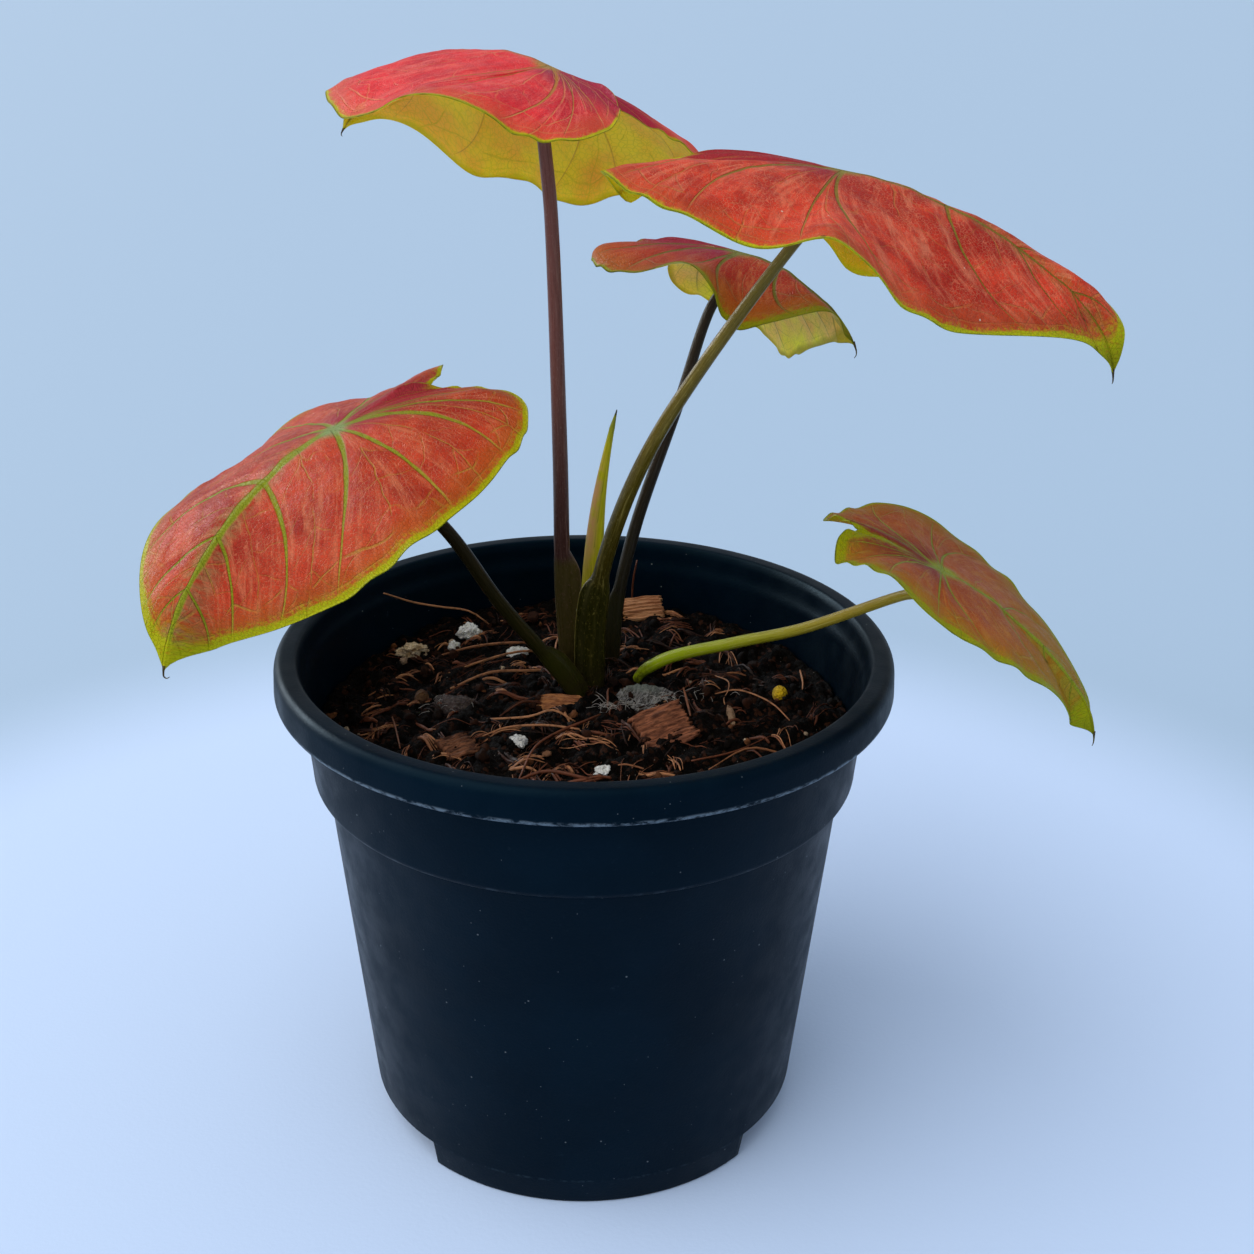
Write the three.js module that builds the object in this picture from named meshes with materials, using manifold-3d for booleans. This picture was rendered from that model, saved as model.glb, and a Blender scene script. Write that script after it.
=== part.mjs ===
// A young dwarf caladium in a plastic nursery pot: five heart-shaped leaves on sheathed
// stalks, one furled leaf, the tuber they grow from, and potting mix with bits lying on it.
// Millimetres, +Z up. The pot's axis is Z and its foot stands on z = 0. Front is -Y.
import * as THREE from 'three'
import { mergeVertices } from 'three/addons/utils/BufferGeometryUtils.js'
import Module from 'manifold-3d'

const wasm = await Module()
wasm.setup()

// Pot
const POT_HEIGHT = 128.3
const RIM_RADIUS = 76
const RIM_DEPTH = 8.5
const MOUTH_RADIUS = 70.2
const COLLAR_RADIUS = [68.0, 70.3]
const STEP_HEIGHT = 97
const WALL_RADIUS = [55.9, 65.0]
const FOOT_RADIUS = 54.5
const FOOT_HEIGHT = 7.7
const POT_WALL = 1.6
const POT_SIDES = 48
const HUB_RADIUS = 30
const ARCH_HALF_ANGLE = 45
const ARCH_TURN = 3.3
const DRAIN_RADIUS = 4.5
const DRAIN_CIRCLE = 43
const DRAIN_SPACING = 22

// Potting mix and tuber
const GAP = 0.3
const SOIL_EDGE = 108
const SOIL_CROWN = 111.5
const SOIL_RINGS = 11
const SOIL_SECTORS = 40
const TUBER = { x: 2, y: 18, top: 103, radius: 17, height: 23 }
const STRANDS = 12

// Leaf blades: the notch at the stalk is as deep as SINUS_DEPTH times the blade's length
const BLADE_THICKNESS = 0.7
const BLADE_STEPS = 24
const BLADE_RINGS = 5
const SINUS_DEPTH = 0.13

// Stalks and the rolled-up leaf
const STALK_SIDES = 10
const STALK_STEPS = 18
const SPEAR_SIDES = 9
const SPEAR_STEPS = 16
const SPEAR_LAP = 1.18

const rad = THREE.MathUtils.degToRad
const clamp = THREE.MathUtils.clamp
const smooth = THREE.MathUtils.smoothstep

// Seeded random numbers from 0 to 1
function seeded(seed) {
  let state = seed
  return () => {
    state = (state * 1664525 + 1013904223) % 4294967296
    return state / 4294967296
  }
}

// Solids are joined and cut as manifolds, then handed back as geometry
function solid(geometry) {
  const bare = geometry.clone()
  bare.deleteAttribute('normal')
  bare.deleteAttribute('uv')
  const merged = mergeVertices(bare, 1e-4)
  return new wasm.Manifold(new wasm.Mesh({
    numProp: 3,
    vertProperties: merged.attributes.position.array,
    triVerts: new Uint32Array(merged.index.array),
  }))
}

function geometryOf(manifold) {
  const mesh = manifold.getMesh()
  const geometry = new THREE.BufferGeometry()
  geometry.setAttribute('position', new THREE.BufferAttribute(new Float32Array(mesh.vertProperties), 3))
  geometry.setIndex(new THREE.BufferAttribute(new Uint32Array(mesh.triVerts), 1))
  geometry.computeVertexNormals()
  return geometry
}

function geometryFrom(points, triangles) {
  const geometry = new THREE.BufferGeometry()
  geometry.setAttribute('position', new THREE.Float32BufferAttribute(points.flatMap(p => [p.x, p.y, p.z]), 3))
  geometry.setIndex(triangles.flat())
  return geometry
}

// A profile of [radius, height] pairs turned about the pot's axis
function turned(profile, sides = POT_SIDES) {
  const geometry = new THREE.LatheGeometry(profile.map(([r, z]) => new THREE.Vector2(r, z)), sides)
  return geometry.rotateX(Math.PI / 2)
}

// A ring of points per station, closed by a fan at each end
function loft(rings) {
  const sides = rings[0].length
  const points = rings.flat()
  const middle = ring => ring.reduce((sum, p) => sum.add(p), new THREE.Vector3()).divideScalar(sides)
  points.push(middle(rings[0]), middle(rings.at(-1)))
  const triangles = []
  for (let i = 0; i < rings.length - 1; i++) {
    for (let j = 0; j < sides; j++) {
      const a = i * sides + j
      const b = i * sides + (j + 1) % sides
      triangles.push([a, b, b + sides], [a, b + sides, a + sides])
    }
  }
  const last = (rings.length - 1) * sides
  for (let j = 0; j < sides; j++) {
    const next = (j + 1) % sides
    triangles.push([next, j, points.length - 2], [last + j, last + next, points.length - 1])
  }
  return geometryFrom(points, triangles)
}

const group = new THREE.Group()
function add(name, geometry, color, roughness = 0.6) {
  const material = new THREE.MeshStandardMaterial({ color, roughness, metalness: 0 })
  const mesh = new THREE.Mesh(geometry, material)
  mesh.name = name
  group.add(mesh)
  return mesh
}

// Pot: rolled rim, stepped collar, tapered wall, two feet with an arch between them on each side
const collarAt = z => THREE.MathUtils.mapLinear(z, STEP_HEIGHT, POT_HEIGHT - RIM_DEPTH, ...COLLAR_RADIUS)
const wallAt = z => THREE.MathUtils.mapLinear(z, FOOT_HEIGHT, STEP_HEIGHT, ...WALL_RADIUS)
const RIM_BOTTOM = POT_HEIGHT - RIM_DEPTH

// The pot's inner radius at a height, which the potting mix follows
function insideAt(z) {
  if (z > STEP_HEIGHT + 2) return Math.min(collarAt(z), collarAt(RIM_BOTTOM)) - POT_WALL
  if (z > STEP_HEIGHT) return THREE.MathUtils.mapLinear(z, STEP_HEIGHT, STEP_HEIGHT + 2,
    wallAt(STEP_HEIGHT) - POT_WALL, collarAt(STEP_HEIGHT + 2) - POT_WALL)
  return wallAt(z) - POT_WALL
}

function wedge(side, halfAngle, inner, top) {
  const outline = new THREE.Shape()
  outline.absarc(0, 0, RIM_RADIUS + 14, rad(-halfAngle), rad(halfAngle), false)
  outline.absarc(0, 0, inner, rad(halfAngle), rad(-halfAngle), true)
  const block = new THREE.ExtrudeGeometry(outline, { depth: top + 2, bevelEnabled: false, curveSegments: 10 })
  return solid(block.translate(0, 0, -2).rotateZ(rad(ARCH_TURN + (side > 0 ? 0 : 180))))
}

function bothSides(halfAngle, inner, top) {
  return wedge(1, halfAngle, inner, top).add(wedge(-1, halfAngle, inner, top))
}

function makePot() {
  const outer = turned([
    [0, 0], [FOOT_RADIUS, 0], [wallAt(FOOT_HEIGHT), FOOT_HEIGHT], [wallAt(STEP_HEIGHT), STEP_HEIGHT - 0.6],
    [collarAt(STEP_HEIGHT) - 0.7, STEP_HEIGHT], [collarAt(STEP_HEIGHT), STEP_HEIGHT + 0.8],
    [collarAt(RIM_BOTTOM + 6), RIM_BOTTOM + 6], [RIM_RADIUS - 1.2, RIM_BOTTOM + 6],
    [RIM_RADIUS - 0.9, RIM_BOTTOM], [RIM_RADIUS + 0.2, RIM_BOTTOM], [RIM_RADIUS + 0.6, RIM_BOTTOM + 0.7],
    [RIM_RADIUS + 0.3, POT_HEIGHT - 1.4], [RIM_RADIUS - 0.1, POT_HEIGHT - 0.5], [RIM_RADIUS - 1, POT_HEIGHT],
    [0, POT_HEIGHT],
  ])
  const inner = turned([
    [0, POT_WALL], [insideAt(POT_WALL) - 2.5, POT_WALL], [insideAt(POT_WALL + 2), POT_WALL + 2],
    [insideAt(STEP_HEIGHT), STEP_HEIGHT], [insideAt(STEP_HEIGHT + 2), STEP_HEIGHT + 2],
    [insideAt(RIM_BOTTOM), RIM_BOTTOM + 1], [MOUTH_RADIUS - 0.5, RIM_BOTTOM + 3.5],
    [MOUTH_RADIUS, POT_HEIGHT - 1.5], [MOUTH_RADIUS + 0.9, POT_HEIGHT], [MOUTH_RADIUS + 0.9, POT_HEIGHT + 5],
    [0, POT_HEIGHT + 5],
  ])
  const extra = 180 / Math.PI * POT_WALL / FOOT_RADIUS
  const raised = bothSides(ARCH_HALF_ANGLE + extra, HUB_RADIUS - POT_WALL, FOOT_HEIGHT + POT_WALL)
  const cavity = solid(inner).subtract(raised)
  let pot = solid(outer).subtract(cavity).subtract(bothSides(ARCH_HALF_ANGLE, HUB_RADIUS, FOOT_HEIGHT))
  for (const side of [0, 180]) {
    for (const turn of [-DRAIN_SPACING, 0, DRAIN_SPACING]) {
      const hole = new THREE.CylinderGeometry(DRAIN_RADIUS, DRAIN_RADIUS, 8, 16).rotateX(Math.PI / 2)
      hole.translate(DRAIN_CIRCLE, 0, FOOT_HEIGHT).rotateZ(rad(ARCH_TURN + side + turn))
      pot = pot.subtract(solid(hole))
    }
  }
  return pot
}

// Blade: half of the heart-shaped outline from tip (t = 0) to the notch at the stalk (t = 1)
const bezier = (t, ...p) => new THREE.CubicBezierCurve(...p.map(q => new THREE.Vector2(...q))).getPoint(t)

function outline(length, width, lobe, t) {
  const shoulder = [0.08 * length, width]
  const end = [-lobe, 0.52 * width]
  if (t < 1 / 3) {
    return bezier(3 * t, [length, 0], [0.8 * length, 0.07 * width], [0.55 * length, width], shoulder)
  }
  if (t < 2 / 3) {
    return bezier(3 * t - 1, shoulder, [0.08 * length - 0.55 * lobe, width], [-lobe, 0.8 * width], end)
  }
  return bezier(3 * t - 2, end, [-lobe, 0.18 * width], [-0.5 * lobe - 0.1 * length, 0.05 * width],
    [-SINUS_DEPTH * length, 0])
}

// Run and drop along a line that bends by angleAt(distance)
function bentLine(angleAt, length) {
  const steps = 60
  const table = [[0, 0]]
  for (let i = 1; i <= steps; i++) {
    const angle = angleAt((i - 0.5) * length / steps)
    const [run, drop] = table.at(-1)
    table.push([run + Math.cos(angle) * length / steps, drop + Math.sin(angle) * length / steps])
  }
  return x => {
    const place = clamp(x / length * steps, 0, steps - 1e-6)
    const i = Math.floor(place)
    return [0, 1].map(k => THREE.MathUtils.lerp(table[i][k], table[i + 1][k], place - i))
  }
}

const ends = t => clamp(Math.min(t, 1 - t) / 0.05, 0, 1)
const hump = (t, middle, spread) => Math.exp(-(((t - middle) / spread) ** 2))

// The blade's middle surface: t runs round one half's edge, rho from the stalk (0) to the edge (1)
function bladeSurface(leaf) {
  const { length, hook } = leaf
  const ribAngle = x => rad(leaf.bend * x / length + hook * clamp((x / length - 0.7) / 0.3, 0, 1) ** 2)
  const rib = bentLine(ribAngle, length * 1.15)
  const turn = new THREE.Matrix4().makeRotationZ(rad(leaf.heading))
    .multiply(new THREE.Matrix4().makeRotationY(rad(leaf.pitch)))
    .multiply(new THREE.Matrix4().makeRotationX(rad(leaf.roll)))
  const halves = [leaf.left, leaf.right].map(half => {
    const notch = SINUS_DEPTH * length
    const reach = Math.max(half.lobe - notch, 1)
    const lobeAngle = x => rad(half.lobeBend * clamp((x - notch) / reach, 0, 1.3))
    return { ...half, lobeAngle, lobeLine: bentLine(lobeAngle, Math.max(half.lobe, notch + 1) * 1.3) }
  })
  return (side, t, rho) => {
    const half = halves[side]
    const sign = side === 0 ? 1 : -1
    const swell = 1 + ends(t) * (half.swell[0] * hump(t, 0.3, 0.16) + half.swell[1] * hump(t, 0.7, 0.16))
    const edge = outline(length, half.width, half.lobe, t).multiplyScalar(swell * rho)
    const x = edge.x
    const s = Math.abs(edge.y)
    const ahead = x >= 0
    const angle = ahead ? ribAngle(x) : half.lobeAngle(-x)
    const [run, drop] = ahead ? rib(x) : half.lobeLine(-x)
    const front = smooth(x / length, -0.25, 0.25)
    const fall = rad(THREE.MathUtils.lerp(half.fall[1], half.fall[0], front))
    const curl = rad(THREE.MathUtils.lerp(half.curl[1], half.curl[0], front)) * s / half.width / 2
    const across = curl === 0 ? s : s * Math.sin(curl) / curl
    const wave = half.waves.reduce((sum, [at, lift, spread]) => sum + lift * hump(t, at, spread), 0)
    const level = sign * across * Math.cos(fall + curl)
    const rise = -across * Math.sin(fall + curl) + ends(t) * wave * rho ** 2.5
    const twist = rad(leaf.twist * x / length)
    const y = level * Math.cos(twist) - rise * Math.sin(twist)
    const up = level * Math.sin(twist) + rise * Math.cos(twist)
    const lean = ahead ? angle : -angle
    const along = ahead ? run : -run
    const point = new THREE.Vector3(along + up * Math.sin(lean), y, -drop + up * Math.cos(lean))
    return point.applyMatrix4(turn).add(new THREE.Vector3(...leaf.junction))
  }
}

// A thin closed blade: the same triangles above and below the middle surface, and a band round the edge
function makeBlade(leaf) {
  const surface = bladeSurface(leaf)
  const around = 2 * BLADE_STEPS
  const at = (ring, k) => {
    const index = ((k % around) + around) % around
    const side = index <= BLADE_STEPS ? 0 : 1
    const t = (side === 0 ? index : around - index) / BLADE_STEPS
    return surface(side, t, (ring / BLADE_RINGS) ** 0.8)
  }
  const middle = [at(0, 0)]
  for (let ring = 1; ring <= BLADE_RINGS; ring++) {
    for (let k = 0; k < around; k++) middle.push(at(ring, k))
  }
  const place = (ring, k) => ring === 0 ? 0 : 1 + (ring - 1) * around + ((k % around) + around) % around
  const faces = []
  for (let k = 0; k < around; k++) {
    faces.push([0, place(1, k), place(1, k + 1)])
    for (let ring = 1; ring < BLADE_RINGS; ring++) {
      faces.push([place(ring, k), place(ring + 1, k), place(ring + 1, k + 1)])
      faces.push([place(ring, k), place(ring + 1, k + 1), place(ring, k + 1)])
    }
  }
  const sheet = geometryFrom(middle, faces)
  sheet.computeVertexNormals()
  const normals = sheet.attributes.normal
  const count = middle.length
  const points = [1, -1].flatMap(side => middle.map((p, i) => new THREE.Vector3()
    .fromBufferAttribute(normals, i).multiplyScalar(side * BLADE_THICKNESS / 2).add(p)))
  const triangles = faces.flatMap(([a, b, c]) => [[a, b, c], [a + count, c + count, b + count]])
  for (let k = 0; k < around; k++) {
    const a = place(BLADE_RINGS, k)
    const b = place(BLADE_RINGS, k + 1)
    triangles.push([a, a + count, b + count], [a, b + count, b])
  }
  return geometryFrom(points, triangles)
}

// The direction square to the blade at its stalk: square to its rib and to the line across it
function bladeNormal(leaf) {
  const surface = bladeSurface(leaf)
  const near = [[0, 0], [0, 1], [0, 0.4], [1, 0.4]]
  const [tip, notch, left, right] = near.map(([side, t]) => surface(side, t, 0.1))
  return tip.sub(notch).cross(left.sub(right)).normalize()
}

// Stalk: a curve with a round section that widens into an open sheath at its foot
function makeStalk(stalk, extra = 0) {
  const path = new THREE.CatmullRomCurve3(stalk.path.map(p => new THREE.Vector3(...p)), false, 'centripetal')
  const length = path.getLength()
  const wide = new THREE.Vector3(...stalk.wide).normalize()
  const rings = []
  for (let i = 0; i <= STALK_STEPS; i++) {
    const share = (i / STALK_STEPS) ** 1.3
    const centre = path.getPointAt(share)
    const along = i === 0 ? new THREE.Vector3(0, 0, 1) : path.getTangentAt(share)
    if (i === 0 || i === STALK_STEPS) centre.addScaledVector(along, (i ? 1 : -1) * Math.min(extra, 0.2))
    const side = wide.clone().addScaledVector(along, -wide.dot(along)).normalize()
    const back = along.clone().cross(side)
    const radius = THREE.MathUtils.lerp(stalk.radius[0], stalk.radius[1], share) + extra
    const left = stalk.sheath.height - share * length
    const open = stalk.sheath.width * clamp(left / 5, 0, 1) ** 0.6
    const ring = []
    for (let j = 0; j < STALK_SIDES; j++) {
      const turn = 2 * Math.PI * j / STALK_SIDES
      const u = Math.cos(turn)
      const v = Math.sin(turn)
      const across = (u > 0 ? radius + open : radius + open * stalk.sheath.other) * u
      const thin = open > 0 && v < 0 ? 0.75 : 1
      ring.push(centre.clone().addScaledVector(side, across).addScaledVector(back, radius * v * thin))
    }
    rings.push(ring)
  }
  return loft(rings)
}

// Leaves. Each junction is where stalk and blade meet; heading is the way the tip points, seen
// from above. Each half lists its width, lobe length and bend, how far it falls and curls (front,
// back), its swell (front, back) and its edge waves as [place, lift, spread].
const LEAVES = {
  left: {
    junction: [-58.1, -9.5, 186.1], heading: 220, pitch: 17, roll: 9, twist: -17,
    length: 70.5, bend: 50, hook: 10.5,
    left: {
      width: 42.5, lobe: 40, lobeBend: 20, fall: [8, 6], curl: [16, 41], swell: [0.01, -0.03],
      waves: [[0.12, -11.5, 0.15], [0.35, -1, 0.11], [0.54, -2.5, 0.09], [0.79, -1.5, 0.1]],
    },
    right: {
      width: 43, lobe: 43, lobeBend: 10, fall: [5, 8], curl: [34, -2], swell: [-0.02, -0.03],
      waves: [[0.16, 5, 0.14], [0.31, 1, 0.11], [0.58, -0.5, 0.14], [0.85, -1, 0.12]],
    },
  },
  top: {
    junction: [-8.4, 10, 265.2], heading: 138, pitch: -12, roll: 2, twist: 12,
    length: 79.5, bend: 57.5, hook: 8,
    left: {
      width: 41.5, lobe: 35.5, lobeBend: 16, fall: [6, -1], curl: [13, -9], swell: [0.06, -0.09],
      waves: [[0.22, -3.5, 0.12], [0.28, -3, 0.05], [0.52, -4, 0.1], [0.91, -1.5, 0.11]],
    },
    right: {
      width: 45.5, lobe: 37, lobeBend: 21, fall: [38, 21], curl: [38, 40], swell: [0, 0.05],
      waves: [[0.17, -5.5, 0.09], [0.6, 1.5, 0.14], [0.94, -2.5, 0.1]],
    },
  },
  right: {
    junction: [55.4, -17.7, 248], heading: -10, pitch: 10, roll: -2, twist: 25,
    length: 77, bend: 42.5, hook: 32,
    left: {
      width: 48.5, lobe: 37, lobeBend: 32, fall: [21, 10], curl: [26, 15], swell: [0, -0.06],
      waves: [[0.03, 5, 0.13], [0.36, 3, 0.12], [0.6, 3.5, 0.09], [0.91, -3, 0.08]],
    },
    right: {
      width: 46, lobe: 48.5, lobeBend: 24, fall: [12, 6], curl: [8, 34], swell: [-0.04, 0],
      waves: [[0.2, -1.5, 0.06], [0.37, 5, 0.05], [0.62, -3.5, 0.06], [0.85, -1.5, 0.11]],
    },
  },
  back: {
    junction: [38.1, 48.9, 215.3], heading: -37.5, pitch: 4.5, roll: -6, twist: 0,
    length: 41.5, bend: 41.5, hook: 16.5,
    left: {
      width: 38, lobe: 35.5, lobeBend: 37, fall: [40, 21], curl: [21, 45], swell: [-0.04, 0],
      waves: [[0.12, -4.5, 0.12], [0.3, -1, 0.1], [0.58, -1.5, 0.07], [0.79, -1, 0.17]],
    },
    right: {
      width: 25.5, lobe: 38.5, lobeBend: 7, fall: [17, 13], curl: [18, 28], swell: [-0.16, 0.02],
      waves: [[0.1, 4, 0.04], [0.24, -7, 0.08], [0.36, 8, 0.08], [0.79, -2, 0.06]],
    },
  },
  low: {
    junction: [84, -16.8, 155.7], heading: -6.5, pitch: 26.5, roll: -3, twist: 9,
    length: 58, bend: 34, hook: 26,
    left: {
      width: 31.5, lobe: 30.5, lobeBend: 37, fall: [4, -3], curl: [11, 2], swell: [-0.03, -0.03],
      waves: [[0.32, 4.5, 0.13], [0.56, -0.5, 0.08], [0.79, 3, 0.08]],
    },
    right: {
      width: 27, lobe: 26, lobeBend: 30, fall: [2, 1], curl: [7, -8], swell: [-0.03, 0.04],
      waves: [[0.04, -5, 0.1], [0.4, -3.5, 0.1], [0.67, -2.5, 0.11], [0.81, 3.5, 0.1]],
    },
  },
}

// Stalks, from the tuber up. Radius is given at the foot and at the leaf; drop is how far below the
// junction the stalk ends; the sheath is wider on the side that wide points to, and by the share
// other on the far side.
const STALKS = {
  left: {
    path: [[-1.2, 8.4, 103.3], [-3.3, 7.5, 111.5], [-10, 5.7, 122], [-21, 2.6, 137.5], [-35, -1.2, 160]],
    radius: [1.9, 1.5], drop: 0.95, wide: [0.6, 0.3, 0.7], sheath: { height: 25, width: 3, other: 0.2 },
  },
  top: {
    path: [[-4, 22.5, 103.3], [-5, 21.7, 115], [-6.2, 20.5, 134], [-6.8, 17.9, 172], [-8.5, 14, 230]],
    radius: [2.2, 1.5], drop: 1.3, wide: [1, 0, 0], sheath: { height: 41, width: 2.6, other: 0.05 },
  },
  right: {
    path: [
      [1.5, 15, 103.3], [1.4, 13.6, 114], [2.2, 9.6, 134], [7.3, 4, 158], [17.9, -2.2, 185],
      [46.5, -13.2, 232],
    ],
    radius: [2.5, 1.4], drop: 1.1, wide: [-1, 0.1, 0], sheath: { height: 40, width: 2.3, other: 0.5 },
  },
  back: {
    path: [
      [6, 27, 103.3], [6.6, 27.6, 113], [7.8, 30.5, 127], [12.3, 34.9, 146.5], [23.2, 42, 178.5],
      [31, 47.3, 202],
    ],
    radius: [1.8, 1.3], drop: 1.45, wide: [-1, 0, 0], sheath: { height: 27, width: 1, other: 0.1 },
  },
  low: {
    path: [
      [11.8, 15, 103.3], [13.4, 14.2, 112], [19.4, 11.6, 118.5], [37.4, 4.3, 127], [53, -1.9, 133.7],
      [76, -11.3, 147],
    ],
    radius: [1.7, 1.2], drop: 0.75, wide: [0, 0, 1], sheath: { height: 19, width: 1, other: 0.4 },
  },
}

const LOOKS = {
  left: ['#b8473a', '#4a4023'],
  top: ['#c8414a', '#4c2f2b'],
  right: ['#b23a40', '#55502a'],
  back: ['#a8383c', '#231f20'],
  low: ['#b0563f', '#8a8a34'],
}

// Rolled-up young leaf standing between the sheaths
const SPEAR = {
  path: [
    [0.8, 25.6, 103.3], [0.6, 26.2, 117], [1.1, 26.6, 133], [2.8, 27.1, 156], [5.7, 27.6, 174],
    [7.1, 27.7, 180],
  ],
  girth: [1.7, 2.1, 2.4, 1.9, 1.0, 0.35],
}

function makeSpear(extra = 0) {
  const path = new THREE.CatmullRomCurve3(SPEAR.path.map(p => new THREE.Vector3(...p)), false, 'centripetal')
  const rings = []
  for (let i = 0; i <= SPEAR_STEPS; i++) {
    const share = i / SPEAR_STEPS
    const along = i === 0 ? new THREE.Vector3(0, 0, 1) : path.getTangentAt(share)
    const centre = path.getPointAt(share)
    if (i === 0) centre.addScaledVector(along, -Math.min(extra, 0.2))
    const place = share * (SPEAR.girth.length - 1)
    const k = Math.min(Math.floor(place), SPEAR.girth.length - 2)
    const radius = THREE.MathUtils.lerp(SPEAR.girth[k], SPEAR.girth[k + 1], place - k) + extra
    const side = new THREE.Vector3(1, 0, 0).addScaledVector(along, -along.x).normalize()
    const back = along.clone().cross(side)
    rings.push([...Array(SPEAR_SIDES).keys()].map(j => {
      const turn = 2 * Math.PI * j / SPEAR_SIDES
      const lap = j === SPEAR_SIDES - 1 ? SPEAR_LAP : 1
      return centre.clone().addScaledVector(side, radius * lap * Math.cos(turn))
        .addScaledVector(back, radius * lap * Math.sin(turn))
    }))
  }
  return loft(rings)
}

// Tuber: a squat round body with a flat crown that the stalks stand on
function makeTuber(extra = 0) {
  const { x, y, top, radius, height } = TUBER
  const profile = [
    [0, top - height - extra], [radius * 0.5, top - height * 0.96 - extra],
    [radius * 0.85 + extra, top - height * 0.75], [radius + extra, top - height * 0.42],
    [radius * 0.95 + extra, top - height * 0.15], [radius * 0.8 + extra, top + extra], [0, top + extra],
  ]
  return turned(profile, 24).translate(x, y, 0)
}

// Potting mix: sunk below the rim, highest at the back, with a lumpy top
function soilHeight(x, y) {
  const r = Math.hypot(x, y)
  const level = THREE.MathUtils.lerp(SOIL_CROWN, SOIL_EDGE, smooth(r, 20, 66)) + 3.5 * smooth(y, 25, 65)
  const broad = 0.8 * Math.sin(0.31 * x + 1.3) * Math.sin(0.27 * y + 0.7)
  const fine = 0.6 * Math.sin(0.53 * x - 0.41 * y + 2.1)
  return level + (broad + fine) * (1 - 0.5 * smooth(r, 55, 67))
}

function makeSoil() {
  const random = seeded(7)
  const ringAt = (radius, height, uneven = 0) => [...Array(SOIL_SECTORS).keys()].map(j => {
    const turn = 2 * Math.PI * (j + uneven * (random() - 0.5) * 0.7) / SOIL_SECTORS
    const r = radius * (1 + uneven * (random() - 0.5) * 0.04)
    const x = r * Math.cos(turn)
    const y = r * Math.sin(turn)
    return new THREE.Vector3(x, y, height ?? soilHeight(x, y) + uneven * (random() - 0.5) * 1.5)
  })
  const side = z => ringAt(insideAt(z) - GAP, z)
  const rings = [
    ringAt(10, POT_WALL), ringAt(insideAt(POT_WALL) - 3, POT_WALL), side(POT_WALL + 2.2),
    side(STEP_HEIGHT - 0.4), ringAt(insideAt(STEP_HEIGHT) - GAP, STEP_HEIGHT + 0.3),
    side(STEP_HEIGHT + 2.6), side((STEP_HEIGHT + SOIL_EDGE) / 2 + 0.5),
  ]
  const rim = insideAt(SOIL_EDGE) - GAP - 0.15
  for (let i = 0; i < SOIL_RINGS; i++) {
    rings.push(ringAt(rim * (1 - i / SOIL_RINGS) ** 0.9, null, i > 0 ? 1 : 0))
  }
  const extra = 180 / Math.PI * (POT_WALL + GAP) / FOOT_RADIUS
  return solid(loft(rings))
    .subtract(bothSides(ARCH_HALF_ANGLE + extra, HUB_RADIUS - POT_WALL - GAP, FOOT_HEIGHT + POT_WALL + GAP))
}

// Loose bits: each is sunk a little into the mix, which is dented to take it
function chip([long, broad, thick], seed) {
  const random = seeded(seed)
  const shape = new THREE.Shape()
  const corners = 14
  for (let i = 0; i < corners; i++) {
    const turn = 2 * Math.PI * i / corners
    const square = 1 / Math.max(Math.abs(Math.cos(turn)), Math.abs(Math.sin(turn)))
    const reach = (0.82 + 0.18 * random()) * Math.min(square, 1.25)
    shape[i ? 'lineTo' : 'moveTo'](reach * Math.cos(turn) * long / 2, reach * Math.sin(turn) * broad / 2)
  }
  return new THREE.ExtrudeGeometry(shape, { depth: thick, bevelEnabled: false }).translate(0, 0, -thick / 2)
}

function lump([long, broad, thick], seed) {
  const geometry = new THREE.IcosahedronGeometry(1, 1)
  const at = geometry.attributes.position
  for (let i = 0; i < at.count; i++) {
    const p = new THREE.Vector3().fromBufferAttribute(at, i)
    const coarse = 0.16 * Math.sin(4.3 * p.x + seed) * Math.sin(5.1 * p.y + 2 * seed)
    const knob = 1 + coarse + 0.1 * Math.sin(6.7 * p.z + seed)
    at.setXYZ(i, p.x * knob * long / 2, p.y * knob * broad / 2, p.z * knob * thick / 2)
  }
  return geometry
}

const ball = ([long, broad, thick]) => new THREE.IcosahedronGeometry(0.5, 2).scale(long, broad, thick)

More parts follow.
